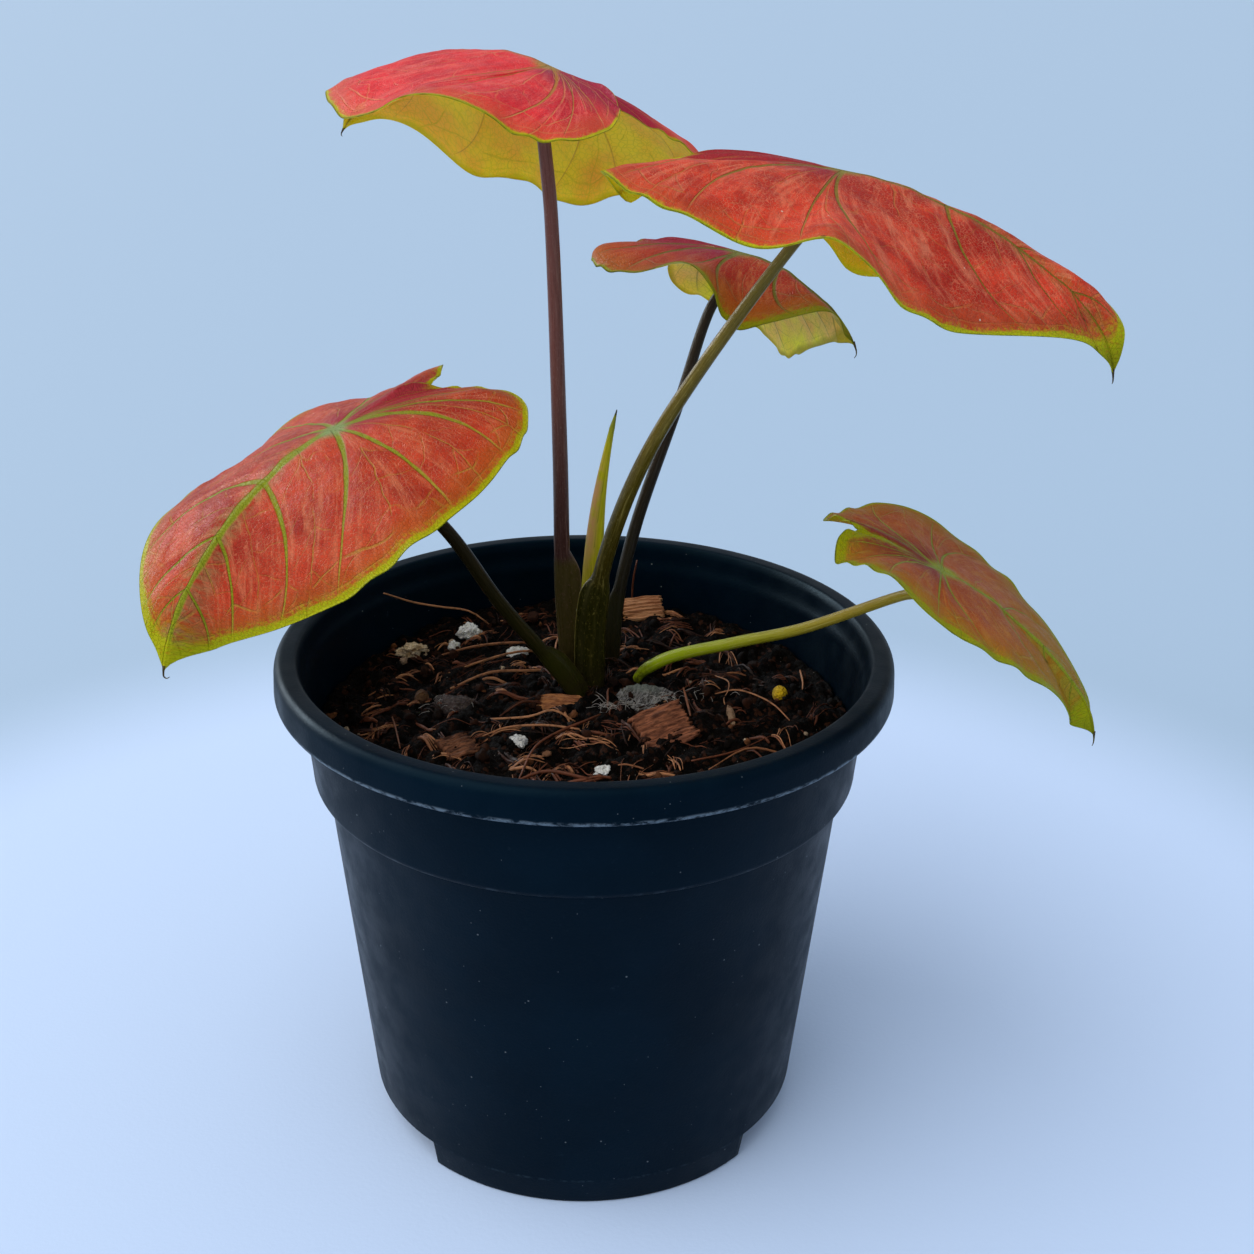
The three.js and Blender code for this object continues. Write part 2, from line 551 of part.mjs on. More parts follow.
// at: place on the mix; size: length, breadth, thickness; lean: degrees about X, Y and Z;
// rise: height of its middle above the mix
const BITS = {
  wood_chip: {
    make: chip, at: [14.5, 58], size: [12.5, 7.5, 1.8], lean: [38, -6, 10], rise: 1.6, color: '#b07a4c',
  },
  bark_chip_front: {
    make: chip, at: [20, -15], size: [16, 12, 2.4], lean: [22, -8, 32], rise: 1.0, color: '#8c5638',
  },
  bark_chip_middle: {
    make: chip, at: [-6.5, 1], size: [12.5, 5.5, 1.8], lean: [14, 0, 3], rise: 0.4, color: '#b4713f',
  },
  bark_chip_left: {
    make: chip, at: [-30, -23], size: [11, 7.5, 2], lean: [12, 4, 42], rise: 0.5, color: '#7a4a30',
  },
  dead_leaf: {
    make: chip, at: [16, 2.5], size: [17, 12, 0.8], lean: [9, 3, -18], rise: 0.4, color: '#7d8284',
  },
  fibre_lump: {
    make: lump, at: [-33, 0], size: [11, 7, 4], lean: [0, 0, 8], rise: 0.4, color: '#5d5350',
  },
  perlite_back: {
    make: lump, at: [-32.8, 44.5], size: [6, 5, 4.6], lean: [0, 0, 0], rise: 1.2, color: '#e9e7e2',
  },
  perlite_small: {
    make: lump, at: [-36.4, 38.6], size: [3.2, 3, 2.8], lean: [0, 0, 30], rise: 0.6, color: '#e9e7e2',
  },
  perlite_left: {
    make: lump, at: [-47, 33.5], size: [8, 5.5, 4], lean: [0, 0, 12], rise: 0.8, color: '#d9c7a6',
  },
  perlite_crown: {
    make: lump, at: [-18.5, 30], size: [6, 4.6, 3.4], lean: [0, 0, -28], rise: 0.8, color: '#f1f0ec',
  },
  perlite_front: {
    make: lump, at: [-15.3, -22], size: [3.4, 4.2, 3], lean: [0, 0, 20], rise: 0.6, color: '#eceae6',
  },
  perlite_near: {
    make: lump, at: [5, -34], size: [3.6, 3, 2.6], lean: [0, 0, 0], rise: 0.3, color: '#e6e2dc',
  },
  bark_pellet: {
    make: ball, at: [-41.5, 3.5], size: [3.6, 3.2, 4.2], lean: [0, 12, 0], rise: 0.8, color: '#8a6037',
  },
  husk: {
    make: ball, at: [36.6, -3.6], size: [2, 7.5, 2.2], lean: [12, 0, 6], rise: 0.6, color: '#b79873',
  },
  feed_prill: {
    make: ball, at: [49.8, 10.5], size: [3.9, 3.9, 4.3], lean: [0, 0, 0], rise: 1.3, color: '#c9a51f',
  },
}

function placeBit({ make, at: [x, y], size, lean, rise }, seed, extra = 0) {
  const geometry = make(size.map(s => s + 2 * extra), seed)
  geometry.rotateY(rad(lean[1])).rotateX(rad(lean[0])).rotateZ(rad(lean[2]))
  return geometry.translate(x, y, soilHeight(x, y) + rise)
}

// Coir strands: thin arcs whose ends are sunk in the mix
function strand(random) {
  const away = 8 + 52 * Math.sqrt(random())
  const turn = 2 * Math.PI * random()
  const heading = 2 * Math.PI * random()
  const reach = 5 + 7 * random()
  const bow = (random() - 0.5) * 6
  const centre = new THREE.Vector2(away * Math.cos(turn), away * Math.sin(turn))
  const knots = [-1, -0.45, 0.45, 1].map(k => {
    const x = centre.x + k * reach * Math.cos(heading) - bow * (1 - k * k) * Math.sin(heading)
    const y = centre.y + k * reach * Math.sin(heading) + bow * (1 - k * k) * Math.cos(heading)
    return new THREE.Vector3(x, y, soilHeight(x, y) + (Math.abs(k) === 1 ? -2.2 : 0.6 + random()))
  })
  const inside = knots.every(p => Math.hypot(p.x, p.y) < 62)
  const section = new THREE.Shape()
  const radius = 0.45 + 0.25 * random()
  const corners = [[1, 0], [0, 1], [-1, 0], [0, -1]]
  section.setFromPoints(corners.map(([x, y]) => new THREE.Vector2(radius * x, radius * y)))
  const route = new THREE.CatmullRomCurve3(knots)
  const tube = new THREE.ExtrudeGeometry(section, { steps: 5, extrudePath: route })
  return inside ? solid(tube) : null
}

// Assembly
add('pot', geometryOf(makePot()), '#1b2530', 0.42)
add('tuber', makeTuber(), '#8b6b4a', 0.9)

const cutters = [solid(makeTuber(GAP + 0.15)), solid(makeSpear(GAP + 0.05))]
for (const [name, leaf] of Object.entries(LEAVES)) {
  const normal = bladeNormal(leaf)
  const junction = new THREE.Vector3(...leaf.junction)
  const near = junction.clone().addScaledVector(normal, -6)
  const end = junction.clone().addScaledVector(normal, -STALKS[name].drop)
  const stalk = { ...STALKS[name], path: [...STALKS[name].path, near.toArray(), end.toArray()] }
  const [top, stem] = LOOKS[name]
  add(`blade_${name}`, makeBlade(leaf), top, 0.45)
  add(`stalk_${name}`, makeStalk(stalk), stem, 0.5)
  cutters.push(solid(makeStalk(stalk, GAP + 0.2)))
}
add('spear', makeSpear(), '#b9bb2c', 0.45)

Object.entries(BITS).forEach(([name, bit], i) => {
  add(name, placeBit(bit, i + 3), bit.color, 0.9)
  cutters.push(solid(placeBit(bit, i + 3, GAP)))
})

const bodies = cutters.reduce((mix, cutter) => mix.subtract(cutter), makeSoil()).decompose()
let soil = bodies.reduce((best, body) => body.volume() > best.volume() ? body : best)
const random = seeded(41)
for (let i = 0; i < STRANDS; i++) {
  const fibre = strand(random)
  if (fibre && cutters.every(cutter => fibre.intersect(cutter).isEmpty())) soil = soil.add(fibre)
}
add('soil', geometryOf(soil), '#2a1b14', 1)

export default group
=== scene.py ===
# A potted dwarf caladium. Lengths are in millimetres until a mesh is made, colours are linear RGB.
from collections import namedtuple

import bpy
import numpy as np
from mathutils import Matrix, Vector


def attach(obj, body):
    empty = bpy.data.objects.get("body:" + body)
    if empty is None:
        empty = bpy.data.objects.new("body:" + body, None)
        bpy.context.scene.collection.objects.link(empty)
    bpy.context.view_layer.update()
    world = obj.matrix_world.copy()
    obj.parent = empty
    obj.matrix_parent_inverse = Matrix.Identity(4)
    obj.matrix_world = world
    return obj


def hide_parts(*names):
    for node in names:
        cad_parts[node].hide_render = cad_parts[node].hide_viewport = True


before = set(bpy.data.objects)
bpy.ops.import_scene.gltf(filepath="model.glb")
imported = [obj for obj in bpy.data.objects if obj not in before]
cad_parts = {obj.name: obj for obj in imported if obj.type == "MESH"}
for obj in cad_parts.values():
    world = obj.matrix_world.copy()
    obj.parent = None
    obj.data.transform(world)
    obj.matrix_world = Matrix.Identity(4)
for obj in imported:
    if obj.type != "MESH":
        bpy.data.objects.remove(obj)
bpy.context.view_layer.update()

MM = 0.001

# The camera of the photograph: its place, how far it looks down, its roll, and its focal length
# as a share of the picture's width
CAMERA_PLACE = (10.32, -423.15, 320.59)
CAMERA_PITCH = 0.41762
CAMERA_ROLL = -0.012885
CAMERA_FOCUS = 1873.71 / 1254
SENSOR = 36

# Pot
POT_HEIGHT = 128.3
RIM_RADIUS = 76
RIM_BOTTOM = POT_HEIGHT - 8.5
MOUTH_RADIUS = 70.2
COLLAR_RADIUS = (68, 70.3)
STEP_HEIGHT = 97
WALL_RADIUS = (55.9, 65)
FOOT_RADIUS = 54.5
FOOT_HEIGHT = 7.7
POT_WALL = 1.6
HUB_RADIUS = 30
ARCH_HALF_ANGLE = 45
ARCH_TURN = 3.3
DRAIN_RADIUS = 4.5
DRAIN_CIRCLE = 43
DRAIN_SPACING = 22
POT_SIDES = 192

# Potting mix
SOIL_EDGE = 108
SOIL_CROWN = 111.5
SOIL_RADIUS = 66.6
LOOSE_RADIUS = 65
CRUMBS = 620
BUNDLES = 300
BUNDLE_RADIUS = 63
THREAD_RADIUS = 0.045

# Blades
SINUS_DEPTH = 0.13
BLADE_MIDDLE = 0.5
BLADE_EDGE = 0.26
RIM_BULGE = 0.14
VEIN_HEIGHT = 0.42
MIDRIB_HEIGHT = 1.1
HUB_HEIGHT = 0.5
QUILT_HEIGHT = 0.45
DENT_HEIGHT = 0.3
RIPPLE_HEIGHT = 0.4
COLUMNS = 150
ROWS = 52


# Curves and mesh tools

def smooth(value, low, high):
    share = np.clip((value - low) / (high - low), 0, 1)
    return share * share * (3 - 2 * share)


def hump(value, middle, spread):
    return np.exp(-((value - middle) / spread) ** 2)


def unit(vectors):
    return vectors / np.maximum(np.linalg.norm(vectors, axis=-1, keepdims=True), 1e-9)


def full_turn(count):
    return 2 * np.pi * np.arange(count) / count


def circle(sides):
    return np.stack([np.cos(full_turn(sides)), np.sin(full_turn(sides))], 1)


def ring(radius, turn, z):
    """Points at a radius, a turn in radians and a height. Each may be many."""
    return np.stack(np.broadcast_arrays(radius * np.cos(turn), radius * np.sin(turn), z), 1)


def smooth_path(knots, count):
    """Points at even distances along a centripetal Catmull-Rom curve through the knots."""
    knots = np.array(knots, float)
    knots = np.vstack([2 * knots[0] - knots[1], knots, 2 * knots[-1] - knots[-2]])
    fine = [knots[1][None]]
    for a, b, c, d in zip(knots[:-3], knots[1:-2], knots[2:-1], knots[3:]):
        t1, t2, t3 = np.cumsum([max(np.linalg.norm(q - p), 1e-6) ** 0.5 for p, q in ((a, b), (b, c), (c, d))])
        t = np.linspace(t1, t2, 25)[1:, None]
        ab = a + (b - a) * t / t1
        bc = b + (c - b) * (t - t1) / (t2 - t1)
        cd = c + (d - c) * (t - t2) / (t3 - t2)
        abc = ab + (bc - ab) * t / t2
        bcd = bc + (cd - bc) * (t - t1) / (t3 - t1)
        fine.append(abc + (bcd - abc) * (t - t1) / (t2 - t1))
    fine = np.vstack(fine)
    run = np.concatenate([[0], np.cumsum(np.linalg.norm(np.diff(fine, axis=0), axis=1))])
    places = np.linspace(0, run[-1], count)
    return np.stack([np.interp(places, run, fine[:, axis]) for axis in range(3)], 1)


def tube_faces(rings, sides):
    """Faces of a closed tube whose points are listed ring after ring."""
    faces = [tuple(reversed(range(sides))), tuple(range((rings - 1) * sides, rings * sides))]
    for start in range(0, (rings - 1) * sides, sides):
        for j in range(sides):
            a, b = start + j, start + (j + 1) % sides
            faces.append((a, b, b + sides, a + sides))
    return faces


def sweep(centres, outlines, wide):
    """A closed tube: outlines[i] holds the section's (u, v) points at centres[i], u towards wide."""
    along = unit(np.gradient(centres, axis=0))
    wide = np.broadcast_to(np.array(wide, float), along.shape)
    side = unit(wide - along * np.sum(wide * along, axis=1, keepdims=True))
    back = np.cross(along, side)
    points = centres[:, None] + outlines[..., :1] * side[:, None] + outlines[..., 1:] * back[:, None]
    return points.reshape(-1, 3), tube_faces(*outlines.shape[:2])


def mesh_object(name, points, faces, materials, face_material=None, maps=None):
    """A smooth mesh. maps holds, for each UV map, two values for each point or each face corner."""
    mesh = bpy.data.meshes.new(name)
    mesh.from_pydata((np.asarray(points) * MM).tolist(), [], faces)
    for material in materials:
        mesh.materials.append(material)
    if face_material is not None:
        mesh.polygons.foreach_set("material_index", np.asarray(face_material, dtype=np.int32))
    mesh.polygons.foreach_set("use_smooth", np.ones(len(mesh.polygons), dtype=bool))
    corners = np.empty(len(mesh.loops), dtype=np.int32)
    mesh.loops.foreach_get("vertex_index", corners)
    for label, values in (maps or {}).items():
        values = np.asarray(values, dtype=np.float32)
        if len(values) == len(points):
            values = values[corners]
        mesh.uv_layers.new(name=label).data.foreach_set("uv", values.ravel())
    mesh.update()
    thing = bpy.data.objects.new(name, mesh)
    bpy.context.scene.collection.objects.link(thing)
    return thing


def joined(parts):
    """One set of points and faces out of several, with each part's maps side by side."""
    points, faces, maps, start = [], [], {}, 0
    for part_points, part_faces, part_maps in parts:
        points.append(part_points)
        faces += [tuple(index + start for index in face) for face in part_faces]
        for label, values in part_maps.items():
            maps.setdefault(label, []).append(values)
        start += len(part_points)
    return np.vstack(points), faces, {label: np.vstack(values) for label, values in maps.items()}


def place(thing, slot, *nodes):
    """The thing stands for these CAD nodes. The slot is not used."""
    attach(thing, "root")
    if nodes:
        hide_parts(*nodes)


def ball(detail):
    """Points and triangles of an icosphere of radius 1."""
    golden = (1 + 5 ** 0.5) / 2
    points = [(-1, golden, 0), (1, golden, 0), (-1, -golden, 0), (1, -golden, 0)]
    points = unit(np.array([np.roll(p, turn) for turn in range(3) for p in points], float))
    faces = []
    for i in range(12):
        for j in range(i + 1, 12):
            for k in range(j + 1, 12):
                a, b, c = points[i], points[j], points[k]
                if max(np.linalg.norm(a - b), np.linalg.norm(b - c), np.linalg.norm(a - c)) < 1.1:
                    faces.append((i, j, k) if np.dot(np.cross(b - a, c - a), a) > 0 else (i, k, j))
    points = [tuple(p) for p in points]
    for _ in range(detail):
        middles, finer = {}, []
        for face in faces:
            mid = []
            for a, b in zip(face, face[1:] + face[:1]):
                key = (min(a, b), max(a, b))
                if key not in middles:
                    middles[key] = len(points)
                    points.append(tuple(unit(np.array(points[a]) + np.array(points[b]))))
                mid.append(middles[key])
            a, b, c = face
            finer += [(a, mid[0], mid[2]), (b, mid[1], mid[0]), (c, mid[2], mid[1]), tuple(mid)]
        faces = finer
    return np.array(points), faces


def turned(points, lean):
    """Points turned about Y, X and then Z, by degrees about X, Y and Z."""
    x, y, z = np.radians(lean)
    turn = Matrix.Rotation(z, 3, "Z") @ Matrix.Rotation(x, 3, "X") @ Matrix.Rotation(y, 3, "Y")
    return points @ np.array(turn).T


def bumps(points, scale, seed):
    """Soft irregular values around 0, out of sine waves of several directions."""
    random = np.random.default_rng(seed)
    total = np.zeros(len(points))
    for octave in range(4):
        for _ in range(4):
            direction = random.normal(size=points.shape[1])
            direction *= (1.7 ** octave) / scale / np.linalg.norm(direction) * 2 * np.pi
            total += np.sin(points @ direction + random.uniform(0, 6.28)) / 1.6 ** octave
    return total / 4


# Material tools

def shade(colour, share):
    return tuple(share * part for part in colour)


class Value:
    """What a node gives at each place of the surface, with arithmetic for numbers."""

    def __init__(self, look, socket):
        self.look = look
        self.socket = socket

    def __add__(self, other):
        return self.look.math("ADD", self, other)

    def __sub__(self, other):
        return self.look.math("SUBTRACT", self, other)

    def __mul__(self, other):
        return self.look.math("MULTIPLY", self, other)

    def __truediv__(self, other):
        return self.look.math("DIVIDE", self, other)

    def __abs__(self):
        return self.look.math("ABSOLUTE", self)

    def most(self, other):
        return self.look.math("MAXIMUM", self, other)

    def zigzag(self):
        """How far the number is from the nearest whole one."""
        return self.look.math("PINGPONG", self, 0.5)

    def step(self, low, high, to_low=0.0, to_high=1.0):
        """Goes smoothly from to_low to to_high as the number goes from low to high."""
        inputs = {"Value": self, "From Min": low, "From Max": high, "To Min": to_low, "To Max": to_high}
        return self.look.add("MapRange", inputs, interpolation_type="SMOOTHSTEP")


class Look:
    """A material's node tree. Colours are laid one over another, and a shader ends it."""

    def __init__(self, name):
        self.material = bpy.data.materials.new(name)
        self.material.use_nodes = True
        self.nodes = self.material.node_tree.nodes
        self.links = self.material.node_tree.links
        self.nodes.clear()
        metres = self.add("TexCoord", output="Object")
        self.where = self.add("VectorMath", {0: metres, "Scale": 1 / MM}, operation="SCALE")

    def node(self, kind, inputs=None, **settings):
        node = self.nodes.new("ShaderNode" + kind)
        for name, value in settings.items():
            setattr(node, name, value)
        for name, value in (inputs or {}).items():
            socket = node.inputs[name]
            if isinstance(value, Value):
                self.links.new(value.socket, socket)
            elif socket.type == "RGBA":
                socket.default_value = (*value, 1)
            else:
                socket.default_value = value
        return node

    def add(self, kind, inputs=None, output=0, **settings):
        """One output of a new node."""
        return Value(self, self.node(kind, inputs, **settings).outputs[output])

    def math(self, operation, *values):
        return self.add("Math", dict(enumerate(values)), operation=operation)

    def vector(self, x, y, z=0.0):
        return self.add("CombineXYZ", {0: x, 1: y, 2: z})

    def parts(self, vector):
        return [Value(self, socket) for socket in self.node("SeparateXYZ", {0: vector}).outputs]

    def uv(self, label):
        """The two values of a UV map."""
        return self.parts(self.add("UVMap", uv_map=label))[:2]

    def away(self, x, y):
        """How far a place is from the origin."""
        return self.math("SQRT", x * x + y * y)

    def noise(self, scale, detail=3.0, roughness=0.55, distortion=0.0, where=None):
        """Soft noise from 0 to 1. scale counts its lumps for each millimetre."""
        inputs = {"Scale": scale, "Detail": detail, "Roughness": roughness, "Distortion": distortion}
        return self.add("TexNoise", {"Vector": where or self.where, **inputs})

    def cells(self, scale, where=None):
        """Cells packed side by side: the distance to a cell's middle, and a tone for each cell."""
        node = self.node("TexVoronoi", {"Vector": where or self.where, "Scale": scale})
        tone = self.add("SeparateColor", {0: Value(self, node.outputs["Color"])})
        return Value(self, node.outputs["Distance"]), tone

    def cell_edges(self, scale, where):
        """The distance to the nearest edge of a cell."""
        inputs = {"Vector": where, "Scale": scale}
        return self.add("TexVoronoi", inputs, "Distance", feature="DISTANCE_TO_EDGE")

    def specks(self, scale, size, rarity, where=None):
        """Small round spots in a few of the cells."""
        distance, tone = self.cells(scale, where)
        return distance.step(size, size * 0.5) * self.math("GREATER_THAN", tone, rarity)

    def mix(self, first, second, share):
        """The first colour, or the second where share is 1."""
        return self.add("Mix", {0: share, 6: first, 7: second}, 2, data_type="RGBA", blend_type="MIX")

    def base(self, first, second, share):
        self.colour = self.mix(first, second, share)

    def coat(self, colour, share):
        """Lays a colour over those before it, where share is 1."""
        self.colour = self.mix(self.colour, colour, share)

    def finish(self, roughness, height, depth, gloss=0.5, **shader):
        """Ends in a Principled shader. height is a bump, depth millimetres high where it is 1."""
        inputs = {name.replace("_", " "): value for name, value in shader.items()}
        inputs["Normal"] = self.add("Bump", {"Height": height, "Distance": depth * MM})
        inputs.update({"Base Color": self.colour, "Roughness": roughness, "Specular IOR Level": gloss})
        self.node("OutputMaterial", {0: self.add("BsdfPrincipled", inputs)})
        return self.material


# Leaf blades. Each half's outline runs from the tip, at t = 0, round the lobe to the notch, at
# t = 1. Fall, curl and swell hold a value for the front of the blade and one for its lobe. Waves
# lift the margin round a place t, by a height, over a spread. Green lists places t and the green
# margin's width there. A roll curls the margin round a place t, over a spread, in a band of a
# width, by degrees. The tail is the tip's thread: its length, and how far it turns aside and up.
# front_vein is the place t where the sixth main vein ends.

Half = namedtuple("Half", "sign width lobe lobe_bend fall curl swell waves green roll", defaults=(None,))

LEAVES = {
    "left": {
        "junction": (-58.1, -9.5, 186.1), "heading": 220, "pitch": 17, "roll": 9, "twist": -17,
        "length": 70.5, "bend": 50, "hook": 10.5, "front_vein": 0.21, "tail": (2.8, -0.8, 0.5),
        "halves": (
            Half(
                1, 42.5, 40, 20, (8, 6), (16, 41), (0.01, -0.03),
                (
                    (0.12, -11.5, 0.15), (0.35, -1, 0.11), (0.54, -2.5, 0.09), (0.79, -1.5, 0.1),
                    (0.92, 2, 0.05),
                ),
                ((0, 0.04, 0.12, 0.3, 0.42, 0.6, 0.78, 0.9), (3.6, 2, 1.6, 1.6, 1.1, 1.4, 0.8, 0.05)),
            ),
            Half(
                -1, 43, 43, 11, (5, 6.5), (34, -6), (-0.02, -0.03),
                ((0.16, 5, 0.14), (0.31, 1, 0.11), (0.52, -2.5, 0.12), (0.74, 2.5, 0.06), (0.88, -1.5, 0.08)),
                ((0, 0.04, 0.12, 0.5, 0.78, 0.88), (4, 2, 1.2, 0.8, 0.9, 0.05)),
            ),
        ),
    },
    "top": {
        "junction": (-8.4, 10, 265.2), "heading": 138, "pitch": -12, "roll": 2, "twist": 12,
        "length": 79.5, "bend": 57.5, "hook": 8, "front_vein": 0.28, "tail": (1.4, 0.3, -0.4),
        "halves": (
            Half(
                1, 41.5, 35.5, 16, (6, -1), (13, -9), (0.06, -0.09),
                ((0.22, -3.5, 0.12), (0.28, -3, 0.05), (0.52, -4, 0.1), (0.91, 1.5, 0.11)),
                ((0, 0.06, 0.5, 0.72, 0.85), (3, 0.9, 0.7, 0.6, 0.05)),
            ),
            Half(
                -1, 45.5, 37, 21, (38, 21), (38, 40), (0, 0.05),
                ((0.165, -7.5, 0.045), (0.26, 1, 0.05), (0.6, 1.5, 0.14), (0.94, -2.5, 0.1)),
                ((0, 0.06, 0.5, 0.72, 0.85), (3, 0.9, 0.8, 0.6, 0.05)),
            ),
        ),
    },
    "right": {
        "junction": (55.4, -17.7, 248), "heading": -10, "pitch": 10, "roll": -2, "twist": 25,
        "length": 77, "bend": 42.5, "hook": 32, "front_vein": 0.286, "tail": (2.2, 0.9, -0.1),
        "halves": (
            Half(
                1, 48.5, 37, 32, (21, 10), (26, 15), (0, -0.06),
                ((0.03, 5, 0.13), (0.31, -6.5, 0.08), (0.6, 1.5, 0.09), (0.91, -3, 0.08)),
                ((0, 0.05, 0.12, 0.5, 0.7, 0.85), (4, 1.8, 0.9, 0.8, 0.8, 0.05)),
            ),
            Half(
                -1, 46, 48.5, 24, (12, 6), (8, 34), (-0.04, 0),
                ((0.2, -1.5, 0.06), (0.345, 8, 0.045), (0.64, 1.5, 0.05), (0.76, -8.5, 0.06)),
                ((0, 0.05, 0.12, 0.2, 0.5, 0.8, 0.88), (4.5, 2, 1.2, 1, 0.8, 0.9, 0.05)),
            ),
        ),
    },
    "back": {
        "junction": (38.1, 48.9, 215.3), "heading": -37.5, "pitch": 4.5, "roll": -6, "twist": 0,
        "length": 41.5, "bend": 41.5, "hook": 16.5, "front_vein": 0.29, "tail": (2.8, 0.4, -0.4),
        "halves": (
            Half(
                1, 38, 35.5, 37, (40, 21), (21, 45), (-0.04, 0),
                ((0.12, -4.5, 0.12), (0.3, -1, 0.1), (0.58, 2.5, 0.08), (0.79, -1, 0.17)),
                ((0, 0.08, 0.5, 0.7, 0.82), (3.5, 1, 0.7, 0.6, 0.05)),
            ),
            Half(
                -1, 25.5, 38.5, 7, (17, 13), (18, 28), (-0.16, 0.02),
                ((0.1, 4, 0.04), (0.24, -7, 0.08), (0.36, 8, 0.08), (0.79, -2, 0.06)),
                ((0, 0.08, 0.3, 0.5, 0.72, 0.85), (3.5, 1.4, 1.4, 0.8, 0.7, 0.05)),
                (0.64, 0.08, 3, -80),
            ),
        ),
    },
    "low": {
        "junction": (84, -16.8, 155.7), "heading": -6.5, "pitch": 26.5, "roll": -3, "twist": 9,
        "length": 58, "bend": 34, "hook": 26, "front_vein": 0.28, "tail": (2.4, 0.8, -0.2),
        "halves": (
            Half(
                1, 31.5, 30.5, 37, (4, -3), (11, 2), (-0.03, -0.03),
                ((0.32, 4.5, 0.13), (0.56, -0.5, 0.08), (0.79, 3, 0.08)),
                ((0, 0.06, 0.15, 0.4, 1), (5, 2, 1.2, 0.8, 0.7)),
            ),
            Half(
                -1, 27, 26, 30, (2, 1), (7, -8), (-0.03, 0.04),
                ((0.04, -5, 0.1), (0.4, -3.5, 0.1), (0.67, -2.5, 0.11), (0.735, 2.5, 0.05), (0.81, 3.5, 0.1)),
                ((0, 0.06, 0.3, 0.6, 0.8, 1), (5, 2, 1.6, 2.2, 2, 0.8)),
            ),
        ),
    },
}

# Main veins of each half, from the notch round to the tip: where each leaves the midrib, as a
# share of its length; the place t on the margin where it ends; its strength; how far it bows back
VEINS = (
    (0, 1, 0, 0), (0, 0.72, 0.4, 0.02), (0, 0.6, 0.6, 0.08), (0, 0.49, 1, 0.14), (0, 0.375, 0.8, 0.04),
    (0, 0.25, 1, 0.17), (0.3, 0.14, 0.8, 0.22), (0.53, 0.08, 0.5, 0.11), (0.72, 0.05, 0.35, 0.08),
    (1, 0, 0, 0),
)
FRONT_VEIN = 5


def ends(t):
    """0 at the tip and the notch, 1 between them."""
    return smooth(np.minimum(t, 1 - t), 0, 0.06)


def bezier(share, points):
    s = share[:, None]
    a, b, c, d = (np.array(p, float) for p in points)
    return a * (1 - s) ** 3 + 3 * b * s * (1 - s) ** 2 + 3 * c * s ** 2 * (1 - s) + d * s ** 3


def outline(length, half, t):
    """Points of a half blade's flat outline."""
    width, lobe = half.width, half.lobe
    shoulder, lobe_end, notch = (0.08 * length, width), (-lobe, 0.52 * width), (-SINUS_DEPTH * length, 0)
    curves = (
        ((length, 0), (0.8 * length, 0.07 * width), (0.55 * length, width), shoulder),
        (shoulder, (0.08 * length - 0.55 * lobe, width), (-lobe, 0.8 * width), lobe_end),
        (lobe_end, (-lobe, 0.18 * width), (-0.5 * lobe - 0.1 * length, 0.05 * width), notch),
    )
    piece = np.clip((t * 3).astype(int), 0, 2)
    points = np.stack([bezier(t * 3 - i, curve) for i, curve in enumerate(curves)])
    edge = points[piece, np.arange(len(t))]
    swell = half.swell[0] * hump(t, 0.3, 0.16) + half.swell[1] * hump(t, 0.7, 0.16)
    return edge * (1 + ends(t) * swell)[:, None]


def bent(angle_at, length, places, steps=60):
    """How far along and down a line reaches that turns by angle_at."""
    angle = angle_at((np.arange(steps) + 0.5) * length / steps)
    knots = np.linspace(0, length, steps + 1)
    reaches = []
    for part in (np.cos(angle), np.sin(angle)):
        reach = np.concatenate([[0], np.cumsum(part)]) * length / steps
        reaches.append(np.interp(places, knots, reach))
    return reaches


def blade_surface(leaf, half, flat, t, rho):
    """Bends points of the flat half blade into the shape of the living one."""
    length = leaf["length"]
    x, s = flat[:, 0], np.abs(flat[:, 1])
    notch = SINUS_DEPTH * length
    reach = max(half.lobe - notch, 1)

    def rib(v):
        hook = leaf["hook"] * np.clip((v / length - 0.7) / 0.3, 0, 1) ** 2
        return np.radians(leaf["bend"] * v / length + hook)

    def lobe(v):
        return np.radians(half.lobe_bend * np.clip((v - notch) / reach, 0, 1.3))

    ahead = x >= 0
    lean = np.where(ahead, rib(x), -lobe(-x))
    front_run, front_drop = bent(rib, length * 1.15, np.maximum(x, 0))
    back_run, back_drop = bent(lobe, max(half.lobe, notch + 1) * 1.3, np.maximum(-x, 0))
    run = np.where(ahead, front_run, -back_run)
    drop = np.where(ahead, front_drop, back_drop)
    front = smooth(x / length, -0.25, 0.25)
    fall, curl = (np.radians(b + (a - b) * front) for a, b in (half.fall, half.curl))
    curl = curl * s / half.width / 2
    across = s * np.sinc(curl / np.pi)
    wave = sum(lift * hump(t, middle, spread) for middle, lift, spread in half.waves)
    level = half.sign * across * np.cos(fall + curl)
    ripple = RIPPLE_HEIGHT * np.sin(61 * t + 3 * np.sin(23 * t)) * rho ** 9
    rise = -across * np.sin(fall + curl) + ends(t) * (wave * rho ** 2.5 + ripple)
    twist = np.radians(leaf["twist"] * x / length)
    y = level * np.cos(twist) - rise * np.sin(twist)
    up = level * np.sin(twist) + rise * np.cos(twist)
    points = np.stack([run + up * np.sin(lean), y, -drop + up * np.cos(lean)], 1)
    heading, pitch, roll = (np.radians(leaf[key]) for key in ("heading", "pitch", "roll"))
    turn = Matrix.Rotation(heading, 3, "Z") @ Matrix.Rotation(pitch, 3, "Y") @ Matrix.Rotation(roll, 3, "X")
    return points @ np.array(turn).T + np.array(leaf["junction"])


